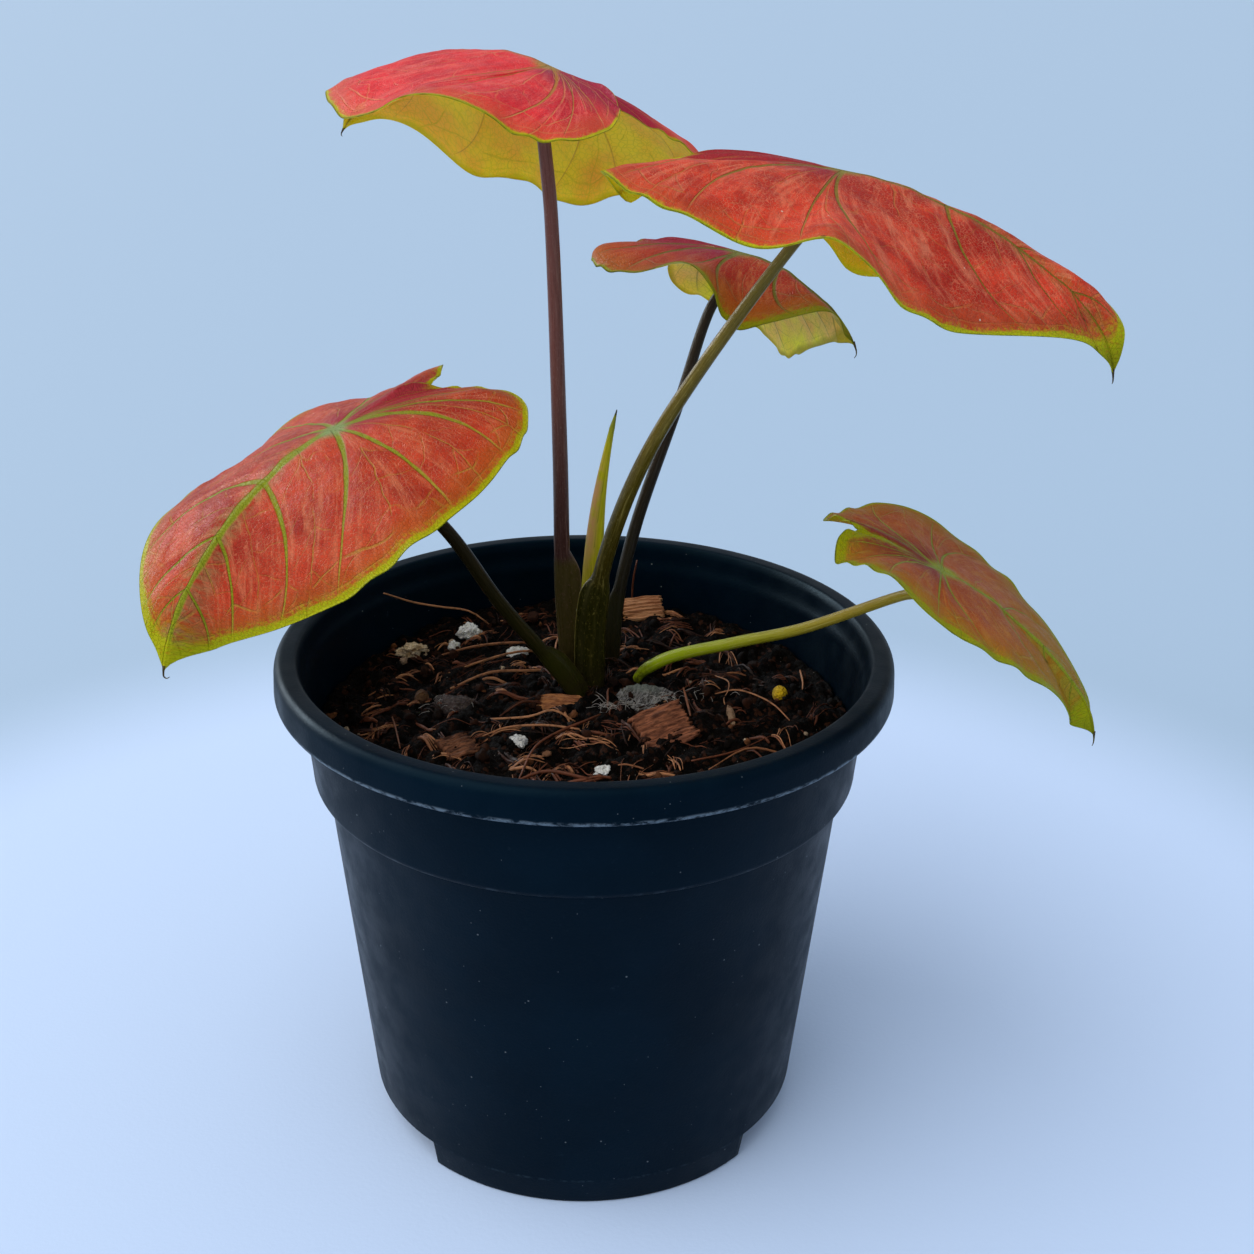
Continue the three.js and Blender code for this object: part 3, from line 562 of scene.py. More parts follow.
def vein_table(leaf, k):
    """Root on the midrib, place on the margin, strength and bow at the vein numbers k."""
    table = np.array(VEINS, float)
    table[FRONT_VEIN, 1] = leaf["front_vein"]
    return [np.interp(k, np.arange(len(VEINS)), table[:, column]) for column in range(4)]


def vein_numbers(leaf):
    """Vein numbers of the mesh's columns: evenly spaced round the margin, and one on each vein."""
    k = np.linspace(0, len(VEINS) - 1, 1500)
    t = vein_table(leaf, k)[1]
    run = np.zeros(len(k))
    for half in leaf["halves"]:
        edge = outline(leaf["length"], half, t)
        run[1:] += np.cumsum(np.linalg.norm(np.diff(edge, axis=0), axis=1))
    run += k * run[-1] * 0.004
    even = np.interp(np.linspace(0, run[-1], COLUMNS), run, k)
    return np.unique(np.round(np.concatenate([even, np.arange(len(VEINS))]), 5))


def half_blade(leaf, half, k, u):
    """The half's grid along its veins: flat and bent places, and how far the margin and the next vein are."""
    length = leaf["length"]
    root, t_end, _, bow = (values[:, None] for values in vein_table(leaf, k))
    chord = outline(length, half, t_end[:, 0]) - np.stack([root[:, 0] * length, np.zeros(len(k))], 1)
    span = np.linalg.norm(chord, axis=1)[:, None]
    back = np.stack([-chord[:, 1], chord[:, 0]], 1) / np.maximum(span, 1e-6)
    arch = bow * span * 4 * u * (1 - u)
    x = root * length + chord[:, :1] * u + back[:, :1] * arch
    y = np.maximum(chord[:, 1:] * u + back[:, 1:] * arch, 0)
    grid = np.stack([x, y], -1)
    flat = grid.reshape(-1, 2)

    fine_t = np.linspace(0, 1, 1201)
    rim = outline(length, half, fine_t)
    rim_turn = np.maximum.accumulate(np.arctan2(rim[:, 1], rim[:, 0]))
    rim_turn[-1] = np.pi
    t = np.interp(np.arctan2(flat[:, 1], flat[:, 0]), rim_turn, fine_t)
    rho = np.linalg.norm(flat, axis=1) / np.maximum(np.linalg.norm(outline(length, half, t), axis=1), 1e-6)
    solid = blade_surface(leaf, half, flat, t, np.clip(rho, 0, 1)).reshape(*x.shape, 3)
    margin = np.min(np.linalg.norm(flat[:, None] - rim[None, ::6], axis=2), axis=1).reshape(x.shape)
    margin[:, -1] = 0
    t = t.reshape(x.shape)
    if half.roll:
        solid = rolled(solid, t[:, -1], half.sign, *half.roll)
    spacing = np.linalg.norm(np.gradient(grid, k, axis=0), axis=2)
    return {"flat": grid, "solid": solid, "margin": margin, "t": t, "spacing": spacing}


def rolled(points, t, sign, middle, spread, width, degrees):
    """Curls the margin: the last stretch of each column of points bends up or down."""
    lengths = np.linalg.norm(np.diff(points, axis=1), axis=2)
    left = np.cumsum(lengths[:, ::-1], axis=1)[:, ::-1] - lengths / 2
    share = hump(t, middle, spread)
    angle = sign * np.radians(degrees) * share
    band = np.where(share > 0.01, width, 1)
    result = points.copy()
    for row in range(1, points.shape[1]):
        step = points[:, row] - points[:, row - 1]
        axis = unit(np.gradient(points[:, row], axis=0))
        turn = (angle * np.clip(1 - left[:, row - 1] / band, 0, 1))[:, None]
        along = axis * np.sum(axis * step, axis=1, keepdims=True)
        bent_step = along + (step - along) * np.cos(turn) + np.cross(axis, step) * np.sin(turn)
        result[:, row] = result[:, row - 1] + bent_step
    return result


def blade_up(leaf):
    """The direction square to the blade where its stalk meets it."""
    places = []
    for side, t in ((0, 0.0), (0, 1.0), (0, 0.4), (1, 0.4)):
        half = leaf["halves"][side]
        edge = outline(leaf["length"], half, np.array([t]))
        places.append(blade_surface(leaf, half, 0.1 * edge, np.array([t]), np.array([0.1]))[0])
    tip, notch, left, right = places
    return unit(np.cross(tip - notch, left - right))


def shared_points(roots):
    """Numbers of the two halves' points. The midrib, the notch's line and the tip are in both."""
    rib_roots, rib_index = np.unique(np.round(roots, 6), return_inverse=True)
    count = len(rib_roots) + ROWS - 1
    own = (len(roots) - 2) * (ROWS - 1)
    ids = []
    for _ in range(2):
        index = np.empty((len(roots), ROWS), dtype=int)
        index[:, 0] = rib_index
        index[0, 1:] = len(rib_roots) + np.arange(ROWS - 1)
        index[-1, :] = rib_index[-1]
        index[1:-1, 1:] = count + np.arange(own).reshape(-1, ROWS - 1)
        count += own
        ids.append(index)
    return ids, count


def grid_faces(ids):
    """Faces of both halves, each a list of corners: its point, and its half, column and row."""
    faces = []
    for h, index in enumerate(ids):
        for c in range(index.shape[0] - 1):
            for r in range(index.shape[1] - 1):
                cell = [(c, r), (c + 1, r), (c + 1, r + 1), (c, r + 1)]
                if h == 1:
                    cell.reverse()
                face = [(index[spot], (h, *spot)) for spot in cell]
                face = [corner for i, corner in enumerate(face) if corner[0] != face[i - 1][0]]
                if len(face) > 2:
                    faces.append(face)
    return faces


def relief(leaf, half, k, u):
    """The blade's thickness, its swelling between the veins and the ridges under it."""
    flat, margin = half["flat"], half["margin"]
    near = np.abs(k - np.round(k))[:, None] * half["spacing"]
    strength = vein_table(leaf, np.round(k))[2][:, None] * (1 - 0.75 * u)
    rib = np.abs(flat[..., 1])
    inner = smooth(margin, 0, 6)
    thick = BLADE_EDGE + (BLADE_MIDDLE - BLADE_EDGE) * inner
    quilt = inner * (1 - hump(np.minimum(near, rib), 0, 2.6)) * QUILT_HEIGHT
    swell = quilt + DENT_HEIGHT * inner * bumps(flat.reshape(-1, 2), 22, 3).reshape(quilt.shape)
    vein = VEIN_HEIGHT * strength * hump(near, 0, 0.5) * (u > 0)
    along = np.clip(flat[..., 0] / leaf["length"], 0, 1)
    midrib = MIDRIB_HEIGHT * (1 - 0.8 * along) * hump(rib, 0, 1.3 - 0.7 * along) * (flat[..., 0] > -6)
    hub = HUB_HEIGHT * hump(np.linalg.norm(flat, axis=2), 0, 3.2)
    return thick, swell, np.maximum(vein, midrib) * smooth(margin, 0, 2) + hub


def look_values(leaf, h, half, k, u):
    """What the materials read: the place, vein number, veins' spacing and size, and the margins."""
    main = vein_table(leaf, np.round(k))[2][:, None] * (1 - 0.72 * u)
    shape, grown = leaf["halves"][h], half["flat"]
    pairs = {
        "flat": (grown[..., 0], shape.sign * grown[..., 1]),
        "vein": (k[:, None], u),
        "span": (half["spacing"], main),
        "edge": (half["margin"], np.interp(half["t"], *shape.green)),
    }
    return {label: np.stack(np.broadcast_arrays(*pair), -1) for label, pair in pairs.items()}


def blade(name):
    """A blade: two half grids joined at the midrib, given a thickness and a rounded rim."""
    leaf = LEAVES[name]
    k = vein_numbers(leaf)
    s = np.linspace(0, 1, ROWS)
    u = 0.55 * s + 0.45 * (1 - np.cos(np.pi * s)) / 2
    halves = [half_blade(leaf, half, k, u) for half in leaf["halves"]]
    ids, count = shared_points(vein_table(leaf, k)[0])
    middle = np.zeros((count, 3))
    away, thick, swell, ridge = np.zeros((4, count))
    for half, index in zip(halves, ids):
        middle[index] = half["solid"]
        away[index] = np.linalg.norm(half["flat"], axis=2)
        thick[index], swell[index], ridge[index] = relief(leaf, half, k, u)

    corners = grid_faces(ids)
    cells = [tuple(point for point, _ in face) for face in corners]
    normal = np.zeros((count, 3))
    for cell in cells:
        a, b, c = (middle[point] for point in cell[:3])
        square = np.cross(b - a, c - a)
        for point in cell:
            normal[point] += square
    # The halves fold sharply at the junction, so the blade's own up takes over there
    near = 1 - smooth(away, 3, 11)[:, None]
    normal = unit(unit(normal) * (1 - near) + blade_up(leaf) * near)

    rim_ids, inner_ids = (np.concatenate([ids[0][::-1, row], ids[1][1:-1, row]]) for row in (-1, -2))
    outward = unit(middle[rim_ids] - middle[inner_ids])
    top = middle + normal * (thick / 2 + swell)[:, None]
    under = middle + normal * (swell - thick / 2 - ridge)[:, None]
    rim = middle[rim_ids] + outward * RIM_BULGE + normal[rim_ids] * swell[rim_ids][:, None]
    points = np.vstack([top, under, rim])
    faces = cells + [tuple(point + count for point in reversed(cell)) for cell in cells]
    paint = [0] * len(cells) + [1] * len(cells) + [2] * (2 * len(rim_ids))
    for i, (a, b) in enumerate(zip(rim_ids, np.roll(rim_ids, -1))):
        ra, rb = 2 * count + i, 2 * count + (i + 1) % len(rim_ids)
        faces += [(a, b, rb, ra), (ra, rb, b + count, a + count)]

    values = [look_values(leaf, h, half, k, u) for h, half in enumerate(halves)]
    maps = {}
    for label in values[0]:
        maps[label] = [
            values[h][label][c, r] for order in (1, -1) for face in corners for _, (h, c, r) in face[::order]
        ]
        maps[label] += [(0, 0)] * (8 * len(rim_ids))
    return points, faces, paint, maps


# Leaf colours. tip_shade darkens the tip, tan browns the blade towards it, vein_size widens the veins.

PAINT = {
    "left": {
        "slot": "leaf_red", "vein_size": 0.85, "tip_shade": 0.0, "tan": 0.0,
        "red": (0.56, 0.052, 0.018), "deep": (0.34, 0.020, 0.010), "pale": (0.70, 0.22, 0.10),
        "warm": (0.46, 0.11, 0.008), "green": (0.40, 0.40, 0.004), "vein": (0.23, 0.27, 0.010),
        "fine": (0.44, 0.28, 0.035), "crease": (0.34, 0.018, 0.045), "hub": (0.25, 0.34, 0.12),
        "under": (0.62, 0.50, 0.03), "under_deep": (0.50, 0.24, 0.03),
    },
    "top": {
        "slot": "leaf_pink_red", "vein_size": 0.42, "tip_shade": 0.3, "tan": 0.0,
        "red": (0.84, 0.026, 0.036), "deep": (0.58, 0.012, 0.026), "pale": (0.92, 0.20, 0.15),
        "warm": (0.64, 0.10, 0.035), "green": (0.46, 0.42, 0.006), "vein": (0.48, 0.19, 0.03),
        "fine": (0.76, 0.30, 0.10), "crease": (0.30, 0.010, 0.050), "hub": (0.42, 0.26, 0.06),
        "under": (1.0, 0.70, 0.05), "under_deep": (1.0, 0.50, 0.06),
    },
    "right": {
        "slot": "leaf_red", "vein_size": 0.55, "tip_shade": 0.75, "tan": 0.0,
        "red": (0.72, 0.052, 0.021), "deep": (0.38, 0.016, 0.008), "pale": (0.86, 0.27, 0.14),
        "warm": (0.50, 0.07, 0.015), "green": (0.44, 0.45, 0.005), "vein": (0.22, 0.16, 0.015),
        "fine": (0.52, 0.20, 0.045), "crease": (0.30, 0.012, 0.030), "hub": (0.26, 0.22, 0.04),
        "under": (0.72, 0.50, 0.02), "under_deep": (0.86, 0.42, 0.03),
    },
    "back": {
        "slot": "leaf_dull_red", "vein_size": 0.8, "tip_shade": 0.75, "tan": 0.0,
        "red": (0.48, 0.052, 0.018), "deep": (0.33, 0.018, 0.010), "pale": (0.58, 0.18, 0.06),
        "warm": (0.46, 0.15, 0.006), "green": (0.28, 0.28, 0.004), "vein": (0.14, 0.14, 0.015),
        "fine": (0.40, 0.17, 0.05), "crease": (0.28, 0.008, 0.050), "hub": (0.20, 0.20, 0.04),
        "under": (0.84, 0.80, 0.05), "under_deep": (0.84, 0.54, 0.14),
    },
    "low": {
        "slot": "leaf_coral", "vein_size": 0.48, "tip_shade": 0.35, "tan": 0.9,
        "red": (0.45, 0.095, 0.018), "deep": (0.34, 0.052, 0.010), "pale": (0.56, 0.26, 0.06),
        "warm": (0.36, 0.19, 0.008), "green": (0.29, 0.31, 0.003), "vein": (0.25, 0.30, 0.020),
        "fine": (0.42, 0.27, 0.04), "crease": (0.22, 0.012, 0.020), "hub": (0.30, 0.38, 0.04),
        "under": (0.50, 0.44, 0.04), "under_deep": (0.50, 0.26, 0.04),
    },
}


def vein_lines(look, size):
    """Masks drawn along the blade's own veins: main veins, midrib, fine veins, and how they stray."""
    x, y = look.uv("flat")
    k, u = look.uv("vein")
    spacing, main = look.uv("span")
    margin, _ = look.uv("edge")
    wander = look.noise(0.13, 0.8, where=look.vector(x, y))
    shift = wander * 0.9 - 0.45
    width = (main * 0.95 + 0.12) * wander.step(0.3, 0.7, 0.7 * size, 1.35 * size)
    major = (abs(k.zigzag() * spacing + shift * 0.5) / width).step(1.25, 0.55)
    major = major * main.step(0.02, 0.16) * u.step(1.0, 0.86)
    rib_width = (x / 70.0).step(-0.05, 0.95, 1.5, 0.45) * wander.step(0.3, 0.7, 0.8 * size, 1.2 * size)
    rib = (abs(y) / rib_width).step(1.2, 0.6) * x.step(-4.0, 0.0)

    # The collecting vein loops from one main vein's end to the next, well inside the margin
    loop = abs(margin + shift * 3.0 - (k.zigzag() * -7.0 + 8.0)).step(0.34, 0.12)
    outer = abs(margin + shift * 1.5 - 2.6).step(0.26, 0.08)

    # Fine veins leave the main ones and run outwards, bending round each other
    k_bent = k + shift * 0.2
    branch = ((k_bent + 0.5).zigzag() * spacing).step(0.3, 0.1)
    rung = (u * 4.3 + k_bent.zigzag() * 1.4 + shift * 0.9).zigzag().step(0.035, 0.01)
    fine = loop.most(outer * 0.6).most(branch).most(rung * 0.55)
    broken = look.noise(0.11, 2.0, where=look.vector(y, x, 7.0)).step(0.38, 0.55)
    return major, rib, fine * broken, shift


def net(look, scale):
    """The finest net of veins, from 0 in its meshes to 1 on its threads."""
    flat = look.vector(*look.uv("flat"))
    stray = look.add("TexNoise", {"Vector": flat, "Scale": 0.5, "Detail": 2.0}, 1)
    strayed = look.add("VectorMath", {0: flat, 1: stray}, operation="ADD")
    return look.cell_edges(scale, strayed).step(0.11, 0.02)


def blade_top(name):
    """Red blade with green veins and margin."""
    paint, length = PAINT[name], LEAVES[name]["length"]
    look = Look(name + "_blade_top")
    x, y = look.uv("flat")
    k, u = look.uv("vein")
    margin, green_width = look.uv("edge")
    flat = look.vector(x, y)
    major, rib, fine, shift = vein_lines(look, paint["vein_size"])
    mesh = net(look, 1.15)

    look.base(paint["red"], paint["deep"], look.noise(0.045, 5.0, 0.65, where=flat).step(0.40, 0.62))
    look.coat(paint["deep"], look.noise(0.3, 4.0, 0.65, where=look.vector(y, x)).step(0.46, 0.66) * 0.5)
    streaks = look.noise(0.9, 4.0, 0.7, 0.6, where=look.vector(k * 9.0, u * 3.0))
    look.coat(paint["pale"], streaks.step(0.45, 0.70, 0.0, 0.5))
    look.coat(paint["pale"], mesh * look.noise(0.16, where=flat).step(0.3, 0.6) * 0.36)
    look.coat(paint["pale"], look.noise(1.6, 4.0, 0.75, where=flat).step(0.58, 0.70) * 0.5)
    look.coat(paint["warm"], (margin + shift * 6.0 + green_width * -0.8).step(8.0, 1.0, 0.0, 0.55))
    look.coat(paint["warm"], x.step(0.15 * length, 0.75 * length, 0.0, paint["tan"]))
    look.coat(paint["crease"], x.step(1.0, -4.0) * abs(y).step(13.0, 4.0) * 0.85)
    halo = abs(y).step(4.0, 0.5) * x.step(-2.0, 3.0) * look.noise(0.5, where=flat).step(0.35, 0.6)
    look.coat(paint["hub"], halo * 0.35)
    look.coat(paint["fine"], fine * 0.5)
    look.coat(look.mix(paint["vein"], paint["fine"], u.step(0.5, 1.0)), major * 0.92)
    look.coat(paint["vein"], rib * 0.95)
    from_hub = look.away(x, y)
    look.coat(paint["hub"], (from_hub + shift * 4.0).step(5.5, 1.5, 0.0, 0.9))

    # The green margin is ragged inside, with a mottled zone where it meets the red
    broad = look.noise(0.13, 2.0, where=flat) * 1.3 - 0.65
    ragged = look.noise(0.8, 4.0, 0.7, where=flat)
    open_edge = from_hub.step(6.0, 15.0)
    edge_at = margin / green_width + broad + (ragged * 1.1 - 0.55)
    green = look.mix(paint["green"], paint["warm"], look.noise(1.4, where=flat).step(0.5, 0.7, 0.0, 0.45))
    look.coat(green, edge_at.step(2.4, 1.1) * ragged.step(0.42, 0.6) * open_edge * 0.55)
    look.coat(green, edge_at.step(1.15, 0.75) * open_edge * 0.95)
    look.coat(paint["green"], margin.step(0.8, 0.45) * open_edge * green_width.step(0.1, 0.4))
    look.coat(shade(paint["green"], 0.3), x.step(0.86 * length, 0.98 * length, 0.0, paint["tip_shade"]))
    look.coat((0.05, 0.02, 0.006), look.specks(0.14, 0.12, 0.9, look.vector(y, x, 3.0)) * 0.5)
    look.coat((0.75, 0.62, 0.5), look.specks(0.22, 0.07, 0.93, flat) * 0.8)

    height = mesh * -0.35 + fine * -0.6 + major * -1.0 + rib * -1.0 + look.noise(0.35, where=flat) * 1.6
    return look.finish(look.noise(0.4, where=flat).step(0.3, 0.7, 0.40, 0.54), height, 0.3, 0.07)


def blade_under(name):
    """The paler back of the blade, where light comes through."""
    paint = PAINT[name]
    look = Look(name + "_blade_under")
    margin, green_width = look.uv("edge")
    flat = look.vector(*look.uv("flat"))
    major, rib, fine, shift = vein_lines(look, paint["vein_size"])
    mesh = net(look, 0.7)
    look.base(paint["under"], paint["under_deep"], look.noise(0.05, where=flat).step(0.35, 0.65))
    look.coat(paint["green"], mesh * 0.25)
    look.coat(paint["green"], fine * 0.35)
    look.coat(paint["vein"], major.most(rib) * 0.5)
    look.coat(paint["green"], (margin + shift * 3.0 + green_width * -1.0).step(1.5, -0.5, 0.0, 0.85))
    height = mesh * 0.5 + fine * 0.8 + look.noise(0.4, where=flat)
    return look.finish(0.55, height, 0.15, 0.12, Subsurface_Weight=1.0,
                       Subsurface_Radius=(1.0, 0.7, 0.15), Subsurface_Scale=0.0016)


def blade_rim(name):
    """The thin bright edge."""
    look = Look(name + "_blade_rim")
    green = PAINT[name]["green"]
    look.base(green, shade(green, 0.45), look.noise(0.3).step(0.45, 0.7))
    return look.finish(0.45, look.noise(1.5), 0.1, 0.15)


def make_tail(name):
    """The dry thread at the blade's tip, curled as the photo shows."""
    leaf = LEAVES[name]
    flat = np.array([(leaf["length"] - 1.5, 0), (leaf["length"], 0)])
    inner, tip = blade_surface(leaf, leaf["halves"][0], flat, np.zeros(2), np.ones(2))
    ahead = unit(tip - inner)
    long, side, rise = leaf["tail"]
    aside = unit(np.cross(ahead, (0, 0, 1)))
    knots = [inner, tip]
    for share in (0.35, 0.7, 1.0):
        turn = share ** 1.5
        step = ahead * (1 - turn) + aside * side * turn + np.array([0, 0, rise]) * turn
        knots.append(knots[-1] + unit(step) * long / 3)
    steps = 24
    radius = 0.42 - 0.34 * np.linspace(0, 1, steps) ** 0.6
    points, faces = sweep(smooth_path(knots, steps), radius[:, None, None] * circle(8), (0, 0, 1))
    look = Look(name + "_tail")
    look.base((0.03, 0.018, 0.008), (0.09, 0.07, 0.012), look.noise(1.2).step(0.4, 0.6))
    material = look.finish(0.6, look.noise(3.0), 0.05, 0.2)
    place(mesh_object("tip_thread_" + name, points, faces, [material]), PAINT[name]["slot"])


def make_blades():
    for name in LEAVES:
        points, faces, paint, maps = blade(name)
        materials = [blade_top(name), blade_under(name), blade_rim(name)]
        thing = mesh_object("leaf_blade_" + name, points, faces, materials, paint, maps)
        place(thing, PAINT[name]["slot"], "blade_" + name)
        make_tail(name)


# Stalks, from the tuber up. drop tells how far below the junction the stalk ends. wide points to
# the side on which the sheath spreads; the sheath has a height, a width, and a share of it for the
# other side; hollow tells which face of the sheath is its trough. thin_foot narrows the stalk's foot.

# line is the pale colour of the sheath's thin edge and of the skin's streaks and flecks, which are partly
# painted highlights and reflections.
STALKS = {
    "left": {
        "path": (
            (-1.2, 8.4, 103.3), (-3.3, 7.5, 111.5), (-10, 5.7, 122), (-21, 2.6, 137.5), (-35, -1.2, 160),
        ),
        "radius": (1.9, 1.5), "drop": 0.95, "wide": (0.6, 0.3, 0.7), "hollow": 1, "sheath": (23, 2.2, 0.1),
        "thin_foot": 0, "gloss": 0.1, "slot": "stalk_dark", "low": (0.020, 0.020, 0.003),
        "high": (0.016, 0.010, 0.004), "sheath_colour": (0.026, 0.028, 0.003), "line": (0.06, 0.036, 0.016),
    },
    "top": {
        "path": ((-4, 22.5, 103.3), (-5, 21.7, 115), (-6.2, 20.5, 134), (-6.8, 17.9, 172), (-8.5, 14, 230)),
        "radius": (2.2, 1.5), "drop": 1.3, "wide": (1, 0, 0), "hollow": 1, "sheath": (41, 2.6, 0.05),
        "thin_foot": 0, "gloss": 0.3, "slot": "stalk_purple", "low": (0.050, 0.024, 0.020),
        "high": (0.17, 0.055, 0.046), "sheath_colour": (0.075, 0.060, 0.013), "line": (0.30, 0.16, 0.13),
    },
    "right": {
        "path": (
            (1.5, 15, 103.3), (1.4, 13.6, 114), (2.2, 9.6, 134), (7.3, 4, 158), (17.9, -2.2, 185),
            (46.5, -13.2, 232),
        ),
        "radius": (2.4, 1.15), "drop": 1.1, "wide": (-1, 0.1, 0), "hollow": -1, "sheath": (40, 2.3, 0.5),
        "thin_foot": 0, "gloss": 0.35, "slot": "stalk_olive", "low": (0.022, 0.020, 0.003),
        "high": (0.14, 0.096, 0.008), "sheath_colour": (0.020, 0.021, 0.002), "line": (0.42, 0.33, 0.08),
    },
    "back": {
        "path": (
            (6, 27, 103.3), (6.6, 27.6, 113), (7.8, 30.5, 127), (12.3, 34.9, 146.5), (23.2, 42, 178.5),
            (31, 47.3, 202),
        ),
        "radius": (1.8, 1.3), "drop": 1.45, "wide": (-1, 0, 0), "hollow": 1, "sheath": (27, 1, 0.1),
        "thin_foot": 0, "gloss": 0.14, "slot": "stalk_dark", "low": (0.014, 0.013, 0.008),
        "high": (0.022, 0.014, 0.010), "sheath_colour": (0.018, 0.018, 0.008), "line": (0.05, 0.045, 0.045),
    },
    "low": {
        "path": (
            (11.8, 15, 103.3), (13.4, 14.2, 112), (19.4, 11.6, 118.5), (37.4, 4.3, 127), (53, -1.9, 133.7),
            (76, -11.3, 147),
        ),
        "radius": (1.7, 1.2), "drop": 0.75, "wide": (0, 0, 1), "hollow": -1, "sheath": (15, 0.7, 0.3),
        "thin_foot": 0.6, "gloss": 0.2, "slot": "stalk_lime", "low": (0.34, 0.46, 0.003),
        "high": (0.30, 0.22, 0.022), "sheath_colour": (0.30, 0.38, 0.004), "line": (0.52, 0.48, 0.14),
    },
}
STALK_STEPS = 90
STALK_SIDES = 36


def make_stalk(name):
    stalk, leaf = STALKS[name], LEAVES[name]
    junction, up = np.array(leaf["junction"], float), blade_up(leaf)
    centres = smooth_path([*stalk["path"], junction - 6 * up, junction - stalk["drop"] * up], STALK_STEPS)
    length = np.sum(np.linalg.norm(np.diff(centres, axis=0), axis=1))
    height, width, other = stalk["sheath"]
    turn = circle(STALK_SIDES)
    u, v = turn.T
    outlines, openness = [], []
    for share in np.linspace(0, 1, STALK_STEPS):
        radius = stalk["radius"][0] + (stalk["radius"][1] - stalk["radius"][0]) * share
        radius *= 1 - stalk["thin_foot"] * (1 - smooth(share * length, 7, 17))
        spread = np.clip((height - share * length) / 5, 0, 1) ** 0.6
        reach = np.where(u > 0, radius + spread * width, radius + spread * width * other)
        thin = 1 - 0.82 * spread * smooth(u, 0.25, 0.95) * min(width / 2, 1)
        trough = 0.5 * spread * hump(u, 0.35, 0.5) * (v * stalk["hollow"] > 0)
        flare = 1 + 0.12 * smooth(share, 0.97, 1)
        outlines.append(np.stack([reach * u, radius * v * thin * (1 - trough)], 1) * flare)
        openness.append(np.full(STALK_SIDES, spread))
    points, faces = sweep(centres, np.array(outlines), stalk["wide"])
    run = np.repeat(np.linspace(0, length, STALK_STEPS), STALK_SIDES)
    maps = {"around": np.tile(turn, (STALK_STEPS, 1)), "run": np.stack([run, np.concatenate(openness)], 1)}
    thing = mesh_object("leaf_stalk_" + name, points, faces, [stalk_look(name, length)], maps=maps)
    place(thing, stalk["slot"], "stalk_" + name)


def stalk_look(name, length):
    """Streaked skin, darker or paler towards the foot, with pale streaks and flecks that are partly painted
    highlights and reflections, a sheath and its thin pale edge.
    """
    stalk = STALKS[name]
    look = Look(name + "_stalk")
    side, back = look.uv("around")
    run, spread = look.uv("run")
    look.base(stalk["low"], stalk["high"], run.step(0.08 * length, 0.75 * length))
    streak_and_sheen = look.noise(1.6, 4.0, 0.65, where=look.vector(side * 2.0, back * 2.0, run * 0.06))
    # Pale streaks in the line colour: partly the skin's own streaks, partly a painted reflection of its
    # gloss.
    look.coat(stalk["line"], streak_and_sheen.step(0.52, 0.75, 0.0, 0.55))
    look.coat(shade(stalk["high"], 0.45), streak_and_sheen.step(0.45, 0.3, 0.0, 0.6))
    look.coat(stalk["sheath_colour"], spread.step(0.05, 0.8) * 0.8)
    # Pale flecks all over in the line colour: painted highlights.
    highlight_flecks = look.noise(2.2, 4.0, 0.7, where=look.vector(side * 3.0, back * 3.0, run * 0.5)).step(0.56, 0.7)
    look.coat(stalk["line"], highlight_flecks * 0.4)
    look.coat(stalk["line"], side.step(0.95, 0.995) * spread.step(0.2, 0.6) * 0.6)
    look.coat((0.022, 0.017, 0.005), run.step(19.0, 9.0) * look.noise(0.5).step(0.25, 0.6) * 0.85)
    roughness = streak_and_sheen.step(0.3, 0.7, 0.24, 0.36)
    return look.finish(roughness, streak_and_sheen + highlight_flecks * 0.3, 0.1, stalk["gloss"], Specular_Tint=(1.0, 0.86, 0.6))


SPEAR_PATH = (
    (0.8, 25.6, 103.3), (0.6, 26.2, 117), (1.1, 26.6, 133), (2.8, 27.1, 156), (5.7, 27.6, 174),
    (7.1, 27.7, 180),
)
SPEAR_GIRTH = (1.9, 2.3, 2.6, 2.1, 1.2, 0.4)
SPEAR_STEPS = 80
SPEAR_SIDES = 40


def make_spear():
    """The rolled-up young leaf: its free edge winds round it as a step."""
    share = np.linspace(0, 1, SPEAR_STEPS)
    girth = np.interp(share * (len(SPEAR_GIRTH) - 1), np.arange(len(SPEAR_GIRTH)), SPEAR_GIRTH)
    blur = 6
    window = np.ones(2 * blur + 1) / (2 * blur + 1)
    girth = np.convolve(np.pad(girth, blur, mode="edge"), window, mode="valid")
    girth[-blur:] = np.linspace(girth[-blur - 1], 0.12, blur)
    turn = np.arange(SPEAR_SIDES) / SPEAR_SIDES
    lap = np.mod(turn - 0.62 - 0.25 * share[:, None], 1)
    reach = girth[:, None] * (0.95 + 0.16 * lap * smooth(lap, 1.0, 0.96))
    outlines = reach[..., None] * circle(SPEAR_SIDES)
    points, faces = sweep(smooth_path(SPEAR_PATH, SPEAR_STEPS), outlines, (1, 0, 0))
    run = np.stack([np.repeat(share, SPEAR_SIDES), lap.ravel()], 1)
    maps = {"run": run, "around": np.tile(circle(SPEAR_SIDES), (SPEAR_STEPS, 1))}
    place(mesh_object("rolled_leaf", points, faces, [spear_look()], maps=maps), "spear_lime", "spear")


